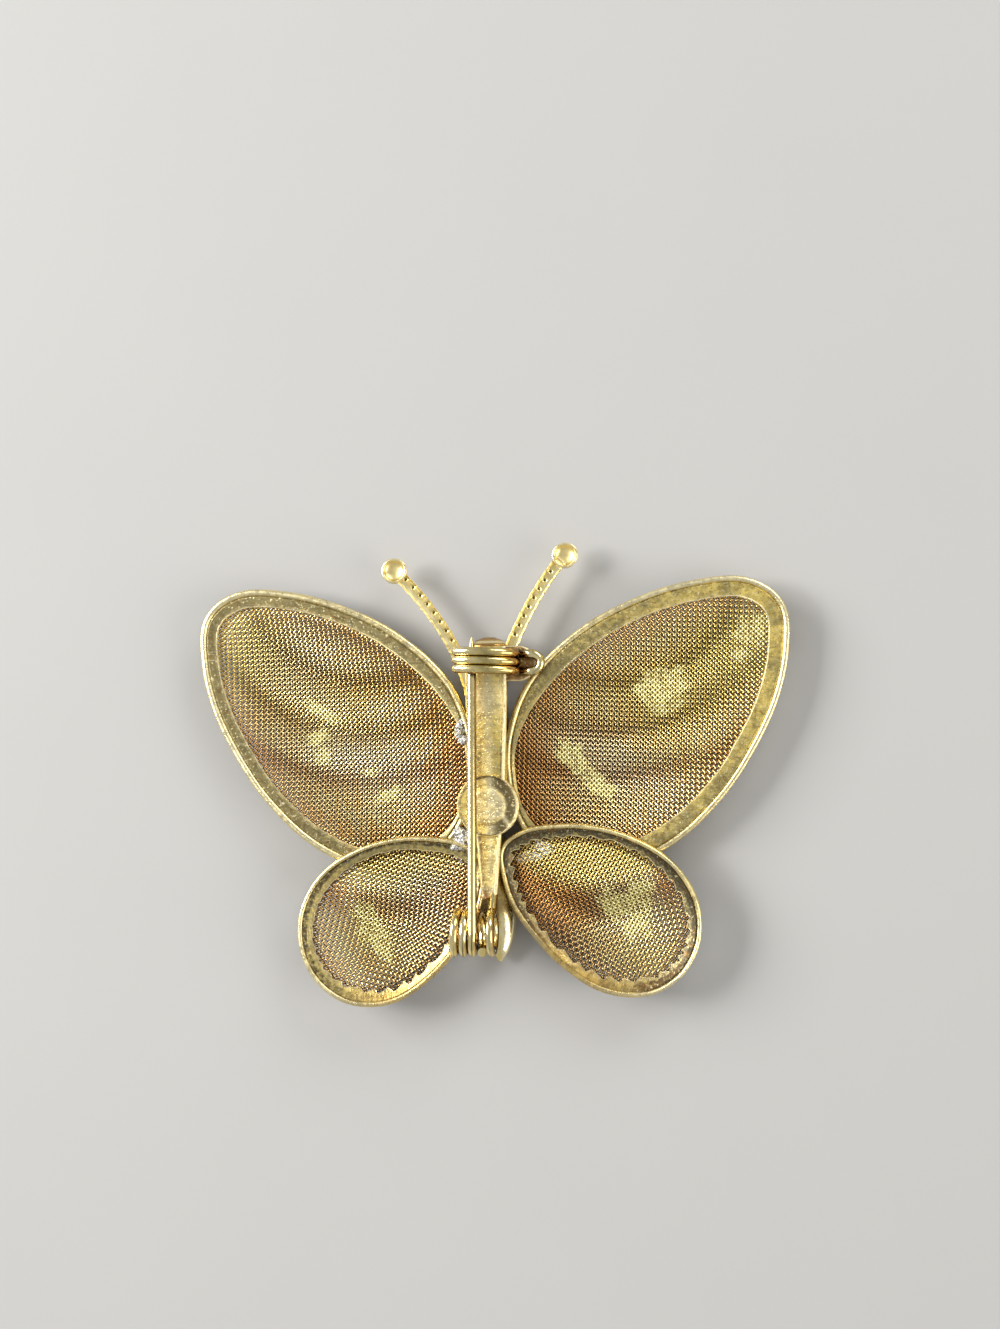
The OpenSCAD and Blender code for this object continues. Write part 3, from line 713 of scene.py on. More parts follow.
def drawn_wire_tree():
    """Round wire along the input curve; each point's radius scales it."""
    t = Tree("Drawn wire", [("Wire Radius", "Float", 0.45 * MM), ("Sides", "Int", 20),
                            ("Material", "Material", None)])
    ring = t.add("GeometryNodeCurvePrimitiveCircle", Resolution=t.entry["Sides"],
                 Radius=t.entry["Wire Radius"]).outputs[0]
    wire = t.add("GeometryNodeCurveToMesh", Curve=t.entry["Geometry"], Profile_Curve=ring, Fill_Caps=True,
                 Scale=t.add("GeometryNodeInputRadius").outputs[0]).outputs[0]
    return t.close(wire, t.entry["Material"])


def grown(name, source, group, values):
    """The result of a tree on a source object, as a plain mesh object."""
    modifier = source.modifiers.new(group.name, "NODES")
    modifier.node_group = group
    for item in group.interface.items_tree:
        if item.item_type == "SOCKET" and item.in_out == "INPUT" and item.name in values:
            modifier[item.identifier] = values[item.name]
    source.update_tag()
    depsgraph = bpy.context.evaluated_depsgraph_get()
    mesh = bpy.data.meshes.new_from_object(source.evaluated_get(depsgraph))
    mesh.name = name
    source.modifiers.clear()
    bpy.data.objects.remove(source)
    mesh.shade_smooth()
    return linked(name, mesh)


def wire_path(name, splines, radius, material, sides=20):
    """Drawn wire along paths in mm; each path is a list of points with a fourth number, its width share."""
    curve = bpy.data.curves.new(name + " path", "CURVE")
    curve.dimensions = "3D"
    for path in splines:
        spline = curve.splines.new("POLY")
        spline.points.add(len(path) - 1)
        for point, (x, y, z, width) in zip(spline.points, path):
            point.co = (x * MM, y * MM, z * MM, 1)
            point.radius = width
    group = bpy.data.node_groups.get("Drawn wire") or drawn_wire_tree()
    return grown(name, linked(name + " path", curve), group,
                 {"Wire Radius": radius, "Sides": sides, "Material": material})


def vertex_values(piece, key):
    """A vector for each vertex of a piece, such as its co or its normal."""
    found = np.empty(len(piece.data.vertices) * 3)
    piece.data.vertices.foreach_get(key, found)
    return found.reshape(-1, 3)


# Rims

# Section of a rim in mm: how far the lip's foot sinks, its plain and its beaded rise, the groove beside it,
# the flange's top under the wing's back, and the least flange that a notch leaves inside the wall
LIP_FOOT, LIP_RISE, LIP_BEAD, GROOVE, FLANGE_SINK, LEAST_FLANGE = 0.13, 0.06, 0.22, 0.05, 0.03, 0.3
# Points round a forewing's rim and along one tab of a hindwing's, and the steep part of a tab's edge
RIM_STEPS, TAB_STEPS, TAB_RISE = 400, 20, 0.28
# Unevenness of the flange's inner edge and of its height in mm
ROUGH_EDGE, SWAY = 0.04, 0.05
# A rim's lip as a share of the lip's width, the flange's fall inwards in mm, and the tabs, bead, tan, rubbing
# and painted highlights, dirt and painted shade round it: a base, then (share, bearing, width) for each
# stretch that has more or less
FORE_RIM = {"drop": 0.12, "tabs": (0,), "bead": (1,), "tan": (0,)}
HIND_RIM = {"drop": 0.3, "lip": 0.8, "bead": (1, (-0.95, 270, 42)), "tan": (0, (0.5, 280, 45))}
RIMS = {
    "forewing_right": {**FORE_RIM, "lip": 1.0, "rub_and_sheen": (0.6, (0.4, 0, 70), (0.3, 60, 30)),
                       "soil_and_shade": (1.0, (-1.0, 340, 75))},
    "forewing_left": {**FORE_RIM, "lip": 1.1, "rub_and_sheen": (0.7, (0.5, 330, 80)),
                      "soil_and_shade": (1.4, (1.0, 345, 60), (0.3, 110, 50))},
    "hindwing_right": {**HIND_RIM, "tabs": (0.5, (0.5, 215, 60), (0.45, 340, 60)),
                       "rub_and_sheen": (0.6, (0.4, 330, 60)), "soil_and_shade": (2.1, (-1.6, 285, 45))},
    "hindwing_left": {**HIND_RIM, "tabs": (0.2, (0.95, 280, 65)), "rub_and_sheen": (0.6, (0.4, 0, 60)),
                      "soil_and_shade": (1.2, (-0.8, 285, 50))},
}


def shares_round(bearing, base, *stretches):
    """A base share, with more or less of it on stretches of a rim."""
    return base + sum((share * around(bearing, *stretch) for share, *stretch in stretches), 0 * bearing)


def rim_rows(lip, wide, depth, drop, cut, bead):
    """Section of a rim: distance in, height, share rubbed and painted bright, share dirty and painted dark;
    the cut takes its inner edge back.
    """
    rows = [(0, -0.70 * depth, 0.2, 0.2), (0, -0.45 * depth, 0.3, 0.1)]
    # The lip's top is rubbed and carries a painted highlight, most where it rises highest
    for a in np.radians(np.linspace(180, 20, 9)):
        rise = math.sin(a)
        rub_and_sheen = (0.25 + 0.75 * rise ** 2) * (0.25 + 0.75 * bead)
        rows.append((lip / 2 * (1 + math.cos(a)), (LIP_RISE + LIP_BEAD * bead) * rise - LIP_FOOT, rub_and_sheen, 0))
    start, inner = lip * 1.12, wide - cut
    calm = max(wide - 0.42, lip * 1.3)

    def level(x):
        return -FLANGE_SINK - drop * (x - start) / (wide - start)

    # Painted shade in the groove beside the lip, then dirt on the flange
    rows += [(lip * 1.02, -GROOVE - 0.04 * bead, 0, 0.9 * bead), (start, -GROOVE, 0, 0.7 * bead)]
    rows += [(x, level(x), 0, 0.55) for x in np.linspace(start + 0.05, calm, 7)]
    rows += [(x, level(x), 0.10, 0.35) for x in np.linspace(calm, inner, 5)[1:-1]]
    low = level(inner)
    # A painted highlight along the flange's inner edge, and dirt under it
    return rows + [(inner - 0.17, low, 0.2, 0.5), (inner - 0.12, low + 0.03, 1, 0),
                   (inner - 0.03, low + 0.01, 1, 0), (inner, low - 0.06, 0.8, 0),
                   (inner - 0.03, low - 0.13, 0.4, 0.2), (min(inner, wide) - 0.25, low - 0.15, 0, 0.5),
                   (WALL_W, -FLANGE_T, 0, 0.6), (WALL_W, -0.9 * depth, 0, 0.5),
                   (WALL_W * 0.4, -depth, 0.4, 0.2)]


def tab_profile(phase):
    """Depth of the notch along one folded tab, 1 in the notch: a quick rise and a long leaf edge."""
    p = phase % 1.0
    return np.maximum(1 - p / TAB_RISE, (p - TAB_RISE) / (1 - TAB_RISE))


def make_rim(key, lip, notch, tabs):
    """One wing's rim: its lip, its flange and, where it has notches, its folded tabs."""
    wing, rim = WINGS[key], RIMS[key]
    steps = TAB_STEPS * tabs if notch else RIM_STEPS
    bearing = np.arange(steps) * 360.0 / steps
    tabbed, bead, tan, rub_and_sheen, soil_and_shade = (
        shares_round(bearing, *rim[mark]) for mark in ("tabs", "bead", "tan", "rub_and_sheen", "soil_and_shade"))
    wide, outline = wing.flange_width(bearing), wing.outline(bearing)
    waver = 0.3 * np.sin(np.radians(bearing * 5)) + 0.12 * np.sin(np.radians(bearing * 13))
    cut = notch * (tabbed * tab_profile(bearing / 360 * tabs + waver) - 0.5)
    cut = np.minimum(cut - ROUGH_EDGE * flat_ripple(*outline.T, 0.9, 3), wide - WALL_W - LEAST_FLANGE)
    rows = [rim_rows(lip * rim["lip"], wide[i], wing.depth, rim["drop"], cut[i], bead[i])
            for i in range(steps)]
    away, height, rubbed_and_lit, dirty_and_shaded = np.moveaxis(np.array(rows), 2, 0)
    height = wing.back + height + (away > 0.3) * SWAY * flat_ripple(*outline.T, 0.16, 5, level=1)[:, None]
    count = away.shape[1]
    spots = np.stack([wing.inset(bearing, away[:, j]) for j in range(count)], 1)
    points = np.concatenate([spots, height[:, :, None]], 2).reshape(-1, 3)
    # Rubbing with painted highlights, and dirt with painted shade, from the section's shares and the
    # stretches round the rim
    marks = {"worn": (rubbed_and_lit * rub_and_sheen[:, None]).ravel(), "grime": (dirty_and_shaded * soil_and_shade[:, None]).ravel(),
             "tan": np.repeat(tan, count)}
    return new_mesh(key.replace("wing_", "wing_rim_"), [(points, tube_faces(steps, count, True))], marks)


class BROOCH_OT_rims(bpy.types.Operator):
    """Make the four wings' rims with their lips, flanges and folded tabs"""
    bl_idname = "brooch.rims"
    bl_label = "Wing rims"

    def execute(self, context):
        sizes, colours = context.scene.brooch_wings, context.scene.brooch_colours
        for key, wing in WINGS.items():
            notch = 0 if wing.fore else sizes.tab_notch / MM
            piece = make_rim(key, sizes.lip / MM, notch, sizes.tabs)
            material = gilt("Worn gilt flange" if wing.fore else "Tarnished gilt flange", colours)
            finish_piece(piece, "brooch", "butterfly_frame", material)
        return {"FINISHED"}


# Woven panels

# Rings and steps of the surface that the weave lies on, and how far it goes under the flange in mm
PANEL_RINGS, PANEL_STEPS, FORE_TUCK, HIND_TUCK = 44, 160, 0.35, 0.8
# Soft ovals of colour in the weave: wing, mark, share, middle, half length, half width, turn
BLOTS = [
    ("forewing_right", "yellow", 0.80, 25, 12.5, 5, 4, 0), ("forewing_right", "yellow", 0.40, 17, 8, 5, 3, 0),
    ("forewing_right", "yellow", 0.35, 20, 6, 8, 7, 0), ("forewing_right", "pale", 0.45, 12, 1, 7, 3, -30),
    ("forewing_left", "yellow", 0.35, -17, 4, 5, 4, 0),
    ("forewing_left", "yellow", 0.75, -25.5, 13, 4.5, 5, 0),
    ("forewing_left", "pale", 0.55, -14, 1.5, 8, 3.2, -15), ("forewing_left", "pale", 0.30, -20, 12, 5, 4, 0),
    ("hindwing_right", "warm_and_shade", 0.75, 6.5, -12.5, 3.5, 4.5, 30),
    ("hindwing_right", "yellow", 0.50, 14.5, -17.5, 5, 2.5, -25),
    ("hindwing_right", "pale", 0.50, 13.5, -13.8, 3, 3, 0),
    ("hindwing_left", "yellow", 0.40, -12.5, -16, 4, 3, -60),
    ("hindwing_left", "pale", 0.35, -7, -12, 4, 4, 0),
]
# The most of each mark that a wire takes
TONE_LIMITS = {"warm_and_shade": 0.95, "yellow": 0.9, "pale": 0.7}


def panel_source(name, wing):
    """A fine surface for the weave to lie on, that ends under the flange."""
    bearing = np.arange(PANEL_STEPS) * 360.0 / PANEL_STEPS
    width = wing.flange_width(bearing) - (FORE_TUCK if wing.fore else HIND_TUCK)
    edge = wing.inset(bearing, np.maximum(width, WALL_W + MESH_GAP + 0.05))
    spots = [wing.centre[None, :]]
    for k in range(1, PANEL_RINGS + 1):
        spots.append(wing.centre + (k / PANEL_RINGS) * (edge - wing.centre))
    spots = np.concatenate(spots)
    faces = disc_faces(PANEL_RINGS, PANEL_STEPS)
    if wing.side < 0:
        faces = [tuple(reversed(f)) for f in faces]
    mesh = bpy.data.meshes.new(name)
    mesh.from_pydata((np.c_[spots, panel_height(wing, spots)] * MM).tolist(), [], faces)
    return linked(name, mesh)


def blot(spots, x, y, long, wide, turn):
    """1 in the middle of a soft oval at (x, y), falling to 0 outside it."""
    u, v = turned(spots[:, 0] - x, spots[:, 1] - y, -turn)
    return np.exp(-((u / long) ** 2 + (v / wide) ** 2))


def weave_tones(key, wing, spots, filled):
    """Warm, yellow and pale shares of a panel's wires, with painted shade in creases and a hindwing's drop,
    and painted light.
    """
    near_rim = ease((wing.reach(spots, 2.0) - 0.72) / 0.28)
    tones = {"pale": np.zeros(len(spots))}
    if wing.fore:
        away = fold_distance(wing, spots)
        near_body = ease((11 - np.abs(spots[:, 0])) / 8)
        # Warm tone near the rim and the body, with warm painted shade along the creases
        tones["warm_and_shade"] = 0.10 + 0.40 * near_rim + 0.45 * near_body + 0.60 * crease_lines(away, 1.2)
        tones["yellow"] = 0.30 * bell(away - 13.2, 1.6) + 0.25 * bell(away - 18, 1.4)
    else:
        past = past_forewing(wing, spots)
        # Warm painted shade where the panel drops away beyond the forewing, and yellow painted light where it
        # lies flat
        tones["warm_and_shade"] = 0.10 + 0.25 * near_rim + 0.55 * bell(past - 1.24, 0.11)
        tones["yellow"] = 0.75 * (1 - ease((past - COVER_START) / 0.16))
    for place, mark, share, *oval in BLOTS:
        if place == key:
            tones[mark] += share * blot(spots, *oval)
    tones["yellow"] += 0.7 * filled
    tones["warm_and_shade"] *= 1 - filled
    return {mark: np.clip(tones[mark], 0, most) for mark, most in TONE_LIMITS.items()}


def weave_shade(wing, spots):
    """Painted shade in the creases of a forewing and painted shadow along a hindwing's tabs."""
    if wing.fore:
        return np.clip(0.36 * crease_lines(fold_distance(wing, spots), 0.9), 0, 0.5)
    return 0.75 * ease((wing.reach(spots, wing.flange + 0.25) - 0.93) / 0.06)


class BROOCH_OT_woven_panels(bpy.types.Operator):
    """Weave the wire mesh of the four wings over their bulging panels"""
    bl_idname = "brooch.woven_panels"
    bl_label = "Woven wire panels"

    def execute(self, context):
        sizes, colours = context.scene.brooch_wings, context.scene.brooch_colours
        material = made("Woven gilt wire", wire_mesh_material, colours)
        group = woven_wire_tree()
        for number, (key, wing) in enumerate(WINGS.items()):
            reach = wing.length if wing.fore else wing.length + 2
            wires = 2 * int(reach / (sizes.pitch / MM) / 2 + 2)
            piece = grown(mesh_node(key) + "_weave", panel_source(key + " surface", wing), group, {
                "Pitch": sizes.pitch, "Wire Radius": sizes.wire / 2, "Wires": wires,
                "Lay": math.radians(wing.lay), "Centre": (wing.centre[0] * MM, wing.centre[1] * MM, 0),
                "Wander": sizes.wander, "Sides": 6, "Seed": float(number), "Material": material})
            spots = vertex_values(piece, "co")[:, :2] / MM
            filled = film_share(key, spots)
            # Painted shade on the wires' flanks, away from their tops, joined with that of the creases and
            # tabs; a film lessens it
            flank_shade = ease((0.90 - vertex_values(piece, "normal")[:, 2]) / 0.45)
            shade = np.maximum(flank_shade, weave_shade(wing, spots)) * (1 - 0.75 * filled)
            marks = {**weave_tones(key, wing, spots, filled), "film": filled, "under": shade}
            set_marks(piece.data, marks)
            finish_piece(piece, "brooch", mesh_node(key), material)
        return {"FINISHED"}


# Films and solder

# Patches of film: wing, middle, half length, half width, turn, seed
FILMS = [
    ("forewing_right", 17.2, 8.3, 2.5, 2.0, 20, 1), ("forewing_right", 18.3, 6.5, 2.2, 0.55, 29, 2),
    ("forewing_right", 8.3, 1.3, 2.1, 1.2, -45, 3), ("forewing_right", 10.6, -1.3, 2.1, 1.1, -42, 4),
    ("forewing_right", 26.6, 14.0, 1.7, 1.5, 0, 5), ("forewing_right", 25.3, 11.5, 0.9, 0.7, 30, 6),
    ("forewing_left", -18.0, 6.6, 2.2, 0.7, -33, 7), ("forewing_left", -18.3, 3.9, 1.3, 0.8, 20, 8),
    ("forewing_left", -17.8, 2.0, 0.9, 0.9, 0, 9), ("forewing_left", -12.8, 0.3, 0.9, 0.4, 10, 10),
    ("forewing_left", -11.0, -2.3, 1.7, 0.6, 28, 11),
    ("hindwing_left", -12.7, -15.8, 2.7, 1.5, -56, 12),
    ("hindwing_right", 12.3, -13.2, 1.9, 1.3, -30, 13), ("hindwing_right", 14.6, -12.3, 2.0, 1.3, 60, 14),
    ("hindwing_right", 14.3, -15.2, 1.9, 1.2, 75, 15),
]
# Smears of solder over the mesh, in the films' columns
SMEARS = [
    ("hindwing_right", 5.4, -7.5, 1.1, 0.6, -15, 31), ("hindwing_right", 3.9, -8.3, 1.2, 0.45, 15, 32),
    ("hindwing_left", -3.7, -7.0, 1.2, 0.6, 30, 33), ("hindwing_left", -3.0, -8.0, 0.6, 0.8, 10, 34),
]
# Lumps of solder: middle, height, half length, half width, half height, turn, seed
LUMPS = [
    (-2.75, -6.0, 4.2, 0.7, 0.9, 0.16, 60, 0), (-2.9, 4.6, 3.3, 1.0, 0.6, 0.12, 70, 3.7),
    (-2.7, 3.4, 3.3, 0.5, 0.45, 0.10, 20, 7.4), (-3.0, -6.9, 4.34, 1.05, 0.62, 0.16, 25, 11.1),
]
# Rings and steps of a patch, the heights of films and smears over the panel's middle, and their thickness
PATCH_RINGS, PATCH_STEPS, FILM_LIFT, SMEAR_LIFT, FILM_T = 8, 120, -0.10, 0.10, 0.08
# Waves of a patch's torn outline: share, scale, seed
TEARS = [(0.45, 1.7, 0), (0.35, 4.5, 20), (0.30, 12, 40)]
# Rings and steps of a lump
LUMP_RINGS, LUMP_STEPS = 12, 28


def ragged_round(seed):
    """Directions round a patch, and the reach of its torn outline in each, about 1."""
    angle = np.arange(PATCH_STEPS) * 2 * math.pi / PATCH_STEPS
    reach = 1 + sum(share * flat_ripple(np.cos(angle), np.sin(angle), scale, seed + more)
                    for share, scale, more in TEARS)
    return angle, np.maximum(reach, 0.25)


def film_share(key, spots):
    """1 where a wing's film lies, 0 outside its torn outline."""
    share = np.zeros(len(spots))
    for place, x, y, long, wide, turn, seed in FILMS:
        if place != key:
            continue
        u, v = turned(spots[:, 0] - x, spots[:, 1] - y, -turn)
        u, v = u / long, v / wide
        limit = np.interp(np.arctan2(v, u), *ragged_round(seed), period=2 * math.pi)
        share = np.maximum(share, ease((limit - np.hypot(u, v)) / 0.25 + 0.5))
    inside = share > 0.01
    share[inside] *= 0.5 + 0.5 * ease(0.8 + 2.4 * flat_ripple(*spots[inside].T, 1.5, 9))
    return share


def film_patch(wing, x, y, long, wide, turn, seed, lift):
    """A thin, ragged patch that follows the panel, lift above the middle of the wires."""
    angle, ragged = ragged_round(seed)
    spots = [np.array([[x, y]])]
    for k in range(1, PATCH_RINGS + 1):
        r = ragged * k / PATCH_RINGS
        u, v = turned(np.cos(angle) * long * r, np.sin(angle) * wide * r, turn)
        spots.append(np.c_[x + u, y + v])
    spots = np.concatenate(spots)
    top = np.c_[spots, panel_height(wing, spots) + lift]
    n, faces = len(top), disc_faces(PATCH_RINGS, PATCH_STEPS)
    under = [tuple(v + n for v in reversed(f)) for f in faces]
    rim = [1 + (PATCH_RINGS - 1) * PATCH_STEPS + j for j in range(PATCH_STEPS)]
    side = [(a, a + n, b + n, b) for a, b in zip(rim, rim[1:] + rim[:1])]
    return np.concatenate([top, top - [0, 0, FILM_T]]), faces + under + side


def lump(x, y, z, long, wide, high, turn, seed):
    """A rounded, uneven lump of solder."""
    points = []
    for k in range(1, LUMP_RINGS):
        a = math.pi * k / LUMP_RINGS
        for j in range(LUMP_STEPS):
            b = 2 * math.pi * j / LUMP_STEPS
            p = np.array([math.sin(a) * math.cos(b), math.sin(a) * math.sin(b), math.cos(a)])
            r = 1 + 0.28 * noise.noise(Vector(p * 1.5) + Vector((seed, 0, 0)))
            r += 0.10 * noise.noise(Vector(p * 5) + Vector((0, seed, 0)))
            u, v = turned(p[0] * long * r, p[1] * wide * r, turn)
            points.append([x + u, y + v, z + p[2] * high * r])
    return np.array(points), tube_faces(LUMP_RINGS - 1, LUMP_STEPS)


class BROOCH_OT_films(bpy.types.Operator):
    """Lay the pale films in the mesh and the silvery solder at the joints"""
    bl_idname = "brooch.films"
    bl_label = "Films and solder"

    def execute(self, context):
        colours = context.scene.brooch_colours
        film = made("Pale gilt film", film_material, colours)
        for key, wing in WINGS.items():
            parts = [film_patch(wing, *row, FILM_LIFT) for place, *row in FILMS if place == key]
            finish_piece(new_mesh(key + "_films", parts), "brooch", mesh_node(key), film)
        solder = made("Silvery solder", solder_material, colours)
        parts = [lump(*row) for row in LUMPS]
        parts += [film_patch(WINGS[place], *row, SMEAR_LIFT) for place, *row in SMEARS]
        finish_piece(new_mesh("solder", parts), "brooch", "butterfly_frame", solder)
        return {"FINISHED"}


# Body and antennae

# The body's length, the top of its head, its width and height, and its tail's shift to the right
BODY_LEN, HEAD_Y, BODY_W, BODY_Z, TAIL_SHIFT = 32.75, 13.75, 4.2, 4.65, 0.45
# Sections of the body, those of its head, points round each, and how round a section's corners are
BODY_ROWS, HEAD_ROWS, HEAD_SHARE, BODY_SIDES, BODY_CORNER, TAIL_CORNER = 150, 25, 0.06, 56, 0.75, 1.1
# Places along the body: its crown with a painted highlight, the groove behind it with painted shade, the
# head's end and the tail with a painted highlight
CROWN_Y, GROOVE_Y, HEAD_END_Y, TAIL_Y, GROOVE_DEEP = 13.25, 12.75, 12.4, -13.5, 0.12


def body_points():
    """Rings of points from the domed head to the pointed tail."""
    place = np.concatenate([np.linspace(0, HEAD_SHARE, HEAD_ROWS + 1)[:-1],
                            np.linspace(HEAD_SHARE, 1, BODY_ROWS - HEAD_ROWS)])
    width, high, low = table_curve(BODY_SHAPE, place).T[:, :, None]
    width, high, low = width * BODY_W, high * BODY_Z, low * BODY_Z
    place = place[:, None]
    angle = -2 * math.pi * (np.arange(BODY_SIDES) + 0.5) / BODY_SIDES
    corner = BODY_CORNER + (TAIL_CORNER - BODY_CORNER) * ease((place - 0.78) / 0.06)
    across, up = (np.sign(way) * np.abs(way) ** corner for way in (np.cos(angle), np.sin(angle)))
    x = TAIL_SHIFT * ease((place - 0.65) / 0.3) + width / 2 * across
    z = (low + high) / 2 + (high - low) / 2 * up
    return np.stack([x, np.broadcast_to(HEAD_Y - BODY_LEN * place, x.shape), z], -1).reshape(-1, 3)


class BROOCH_OT_body(bpy.types.Operator):
    """Make the body from the domed head to the pointed tail"""
    bl_idname = "brooch.body"
    bl_label = "Body"

    def execute(self, context):
        points = body_points()
        x, y, z = points.T
        head, tail = ease((y - HEAD_END_Y) / 0.4), ease((TAIL_Y - y) / 1.5)
        crown_highlight, groove = bell(y - CROWN_Y, 0.12), bell(y - GROOVE_Y, 0.16)
        z -= GROOVE_DEEP * groove * (z > 2)
        highlit_side = x > TAIL_SHIFT + 0.2
        # Dirt with painted shade in the groove, tan on the head, and painted highlights on the crown and the
        # tail's right side
        marks = {"grime": np.clip(0.75 - 0.3 * head - 0.7 * tail + 0.6 * groove, 0, 1.2),
                 "worn": np.clip(0.9 * crown_highlight + tail * (0.3 + 0.7 * highlit_side), 0, 1),
                 "tan": np.clip(0.8 * head * (1 - crown_highlight) + 0.3 * (1 - tail) * (1 - head), 0, 0.9)}
        piece = new_mesh("body", [(points, tube_faces(BODY_ROWS, BODY_SIDES))], marks)
        material = gilt("Tarnished gilt body", context.scene.brooch_colours)
        finish_piece(piece, "brooch", "butterfly_frame", material)
        return {"FINISHED"}


# The antennae's height, thickness of the strip and the cup, points round a cup and along a strip
ANTENNA_Z, STRIP_T, CUP_WALL, CUP_STEPS, SPINE_STEPS = 3.0, 0.5, 0.3, 48, 260
# Places across an antenna's strip as shares of its width: over the gutter, then back under it
GUTTER = [-0.50, -0.47, -0.42, -0.37, -0.32, -0.26, -0.19, -0.12, -0.05, 0.02, 0.09, 0.16, 0.22, 0.28, 0.33,
          0.38, 0.42, 0.47, 0.50]
UNDERSIDE = [0.42, 0.2, -0.2, -0.42]
# The gutter's depth and its edges' as shares of the strip's thickness
GUTTER_DEEP, EDGE_DEEP = 0.46, 0.12
# Punched dots: place across the strip as a share, radius and depth in mm
DOT_PLACE, DOT_R, DOT_DEEP = 0.13, 0.13, 0.28
# Side, cup, root as a share of the body's width, root below the head's top, bend sideways and upwards
ANTENNAE = [(1, (7.95, 21.85), 0.26, 3.9, 0.45, 0.66), (-1, (9.6, 20.8), 0.44, 5.7, 0.19, 0.51)]


def antenna_strip(row, strip, cup, dots):
    """The bent strip with its gutter and punched dots: points, faces and marks."""
    side, tip, root_x, root_drop, bend_x, bend_y = row
    tip = np.array(tip)
    root = np.array([root_x * BODY_W, HEAD_Y - root_drop])
    bend = root + np.array([bend_x, bend_y]) * (tip - root)
    t = np.linspace(0, 1 - 0.6 * cup / np.linalg.norm(tip - root), SPINE_STEPS)[:, None]
    spine = (1 - t) ** 2 * root + 2 * t * (1 - t) * bend + t ** 2 * tip
    way = (1 - t) * (bend - root) + t * (tip - bend)
    way /= np.linalg.norm(way, axis=1)[:, None]
    across, count = np.array(GUTTER + UNDERSIDE), len(GUTTER)
    height = -GUTTER_DEEP * ease((0.47 - np.abs(across)) / 0.16)
    height[[0, count - 1]] = -EDGE_DEEP
    height[count:] = -1
    length = np.concatenate([[0], np.cumsum(np.linalg.norm(np.diff(spine, axis=0), axis=1))])[:, None]
    stops = np.linspace(length[-1, 0] / 3, length[-1, 0] - 0.5, dots)
    ragged = 1 + 0.03 * np.sin(length * 5.1) + 0.02 * np.sin(length * 11.7)
    near = np.hypot(np.min(np.abs(stops - length), 1)[:, None], (across - DOT_PLACE) * strip)
    dot, top = bell(near, DOT_R), np.arange(len(across)) < count
    off = across * strip * ragged
    points = np.stack([side * (spine[:, :1] - off * way[:, 1:]), spine[:, 1:] + off * way[:, :1],
                       ANTENNA_Z + height * STRIP_T - DOT_DEEP * dot * top], -1)
    # Painted highlights on the strip's edges and one side of the gutter, dirt with painted shade in the
    # gutter and dots
    rubbed_and_lit = np.maximum(0.95 * (np.abs(across) > 0.43), 0.8 * (across < -0.10))
    marks = {"worn": np.maximum(rubbed_and_lit, 0.25) * top + 0 * near,
             "grime": (0.25 * (np.abs(across) < 0.38) + 0.9 * dot) * top,
             "deep": 0.85 * bell(near, 0.10) * top}
    return points.reshape(-1, 3), tube_faces(*near.shape), {key: mark.ravel() for key, mark in marks.items()}


def antenna_cup(row, cup):
    """A spoon-like cup round the tip, from its bowl over its rounded rim to its outside."""
    side, (x, y) = row[:2]
    bowl = cup - CUP_WALL
    section = arc_points(0, 0, bowl, -bowl * 0.45, 88, 12, 12)
    section += arc_points(cup - CUP_WALL / 2, 0, CUP_WALL / 2, CUP_WALL * 0.33, 160, 0, 7)
    section += arc_points(0, 0, cup, -cup, 10, 88, 12)
    angle = np.arange(CUP_STEPS) * 2 * math.pi / CUP_STEPS
    points = np.array([[side * x + r * math.cos(b) * (1 + 0.03 * math.sin(2 * b + 1)),
                        y + r * math.sin(b) * (1 + 0.03 * math.sin(3 * b)), ANTENNA_Z + z]
                       for r, z in section for b in angle])
    # Painted highlights in the bowl and on the rounded rim, and a little dirt in the bowl and outside
    marks = {"worn": np.repeat([0.45] * 9 + [0.6] * 3 + [0.7] * 7 + [0.3] * 12, CUP_STEPS),
             "grime": np.repeat([0.15] * 12 + [0.0] * 7 + [0.3] * 12, CUP_STEPS),
             "deep": np.zeros(len(points))}
    return points, tube_faces(len(section), CUP_STEPS), marks


class BROOCH_OT_antennae(bpy.types.Operator):
    """Make the two antennae with their punched gutters and cups"""
    bl_idname = "brooch.antennae"
    bl_label = "Antennae"

    def execute(self, context):
        sizes = context.scene.brooch_fittings
        strip, cup = sizes.strip / MM, sizes.cup / MM
        material = gilt("Bright gilt strip", context.scene.brooch_colours)
        for row in ANTENNAE:
            parts = [antenna_strip(row, strip, cup, sizes.dots), antenna_cup(row, cup)]
            marks = {key: np.concatenate([part[2][key] for part in parts]) for key in parts[0][2]}
            name = "antenna_right" if row[0] > 0 else "antenna_left"
            piece = new_mesh(name, [part[:2] for part in parts], marks)
            finish_piece(piece, "brooch", "butterfly_frame", material)
        return {"FINISHED"}


# Pin bar

# The bar's underside, thickness, width and ends, then its disc and boss, and its channel's depth and wall
BAR_Z, BAR_T, BAR_W, BAR_TOP, BAR_END = 4.7, 0.9, 4.2, 12.7, -12.4
DISC_Y, DISC_R, DISC_WALL, BOSS_R, CHANNEL_H, CHANNEL_WALL = -3.15, 3.1, 0.20, 1.8, 0.2, 0.35
# Points along the bar, across its top and across its underside, and the radius of its edges, rounded by wear
BAR_ROWS, BAR_COLUMNS, UNDER_COLUMNS, EDGE_R = 460, 44, 8, 0.16
# Middle of the tab's round end, and the tab's width
TAB_X, TAB_Y, TAB_W = 3.3, 10.95, 3.5
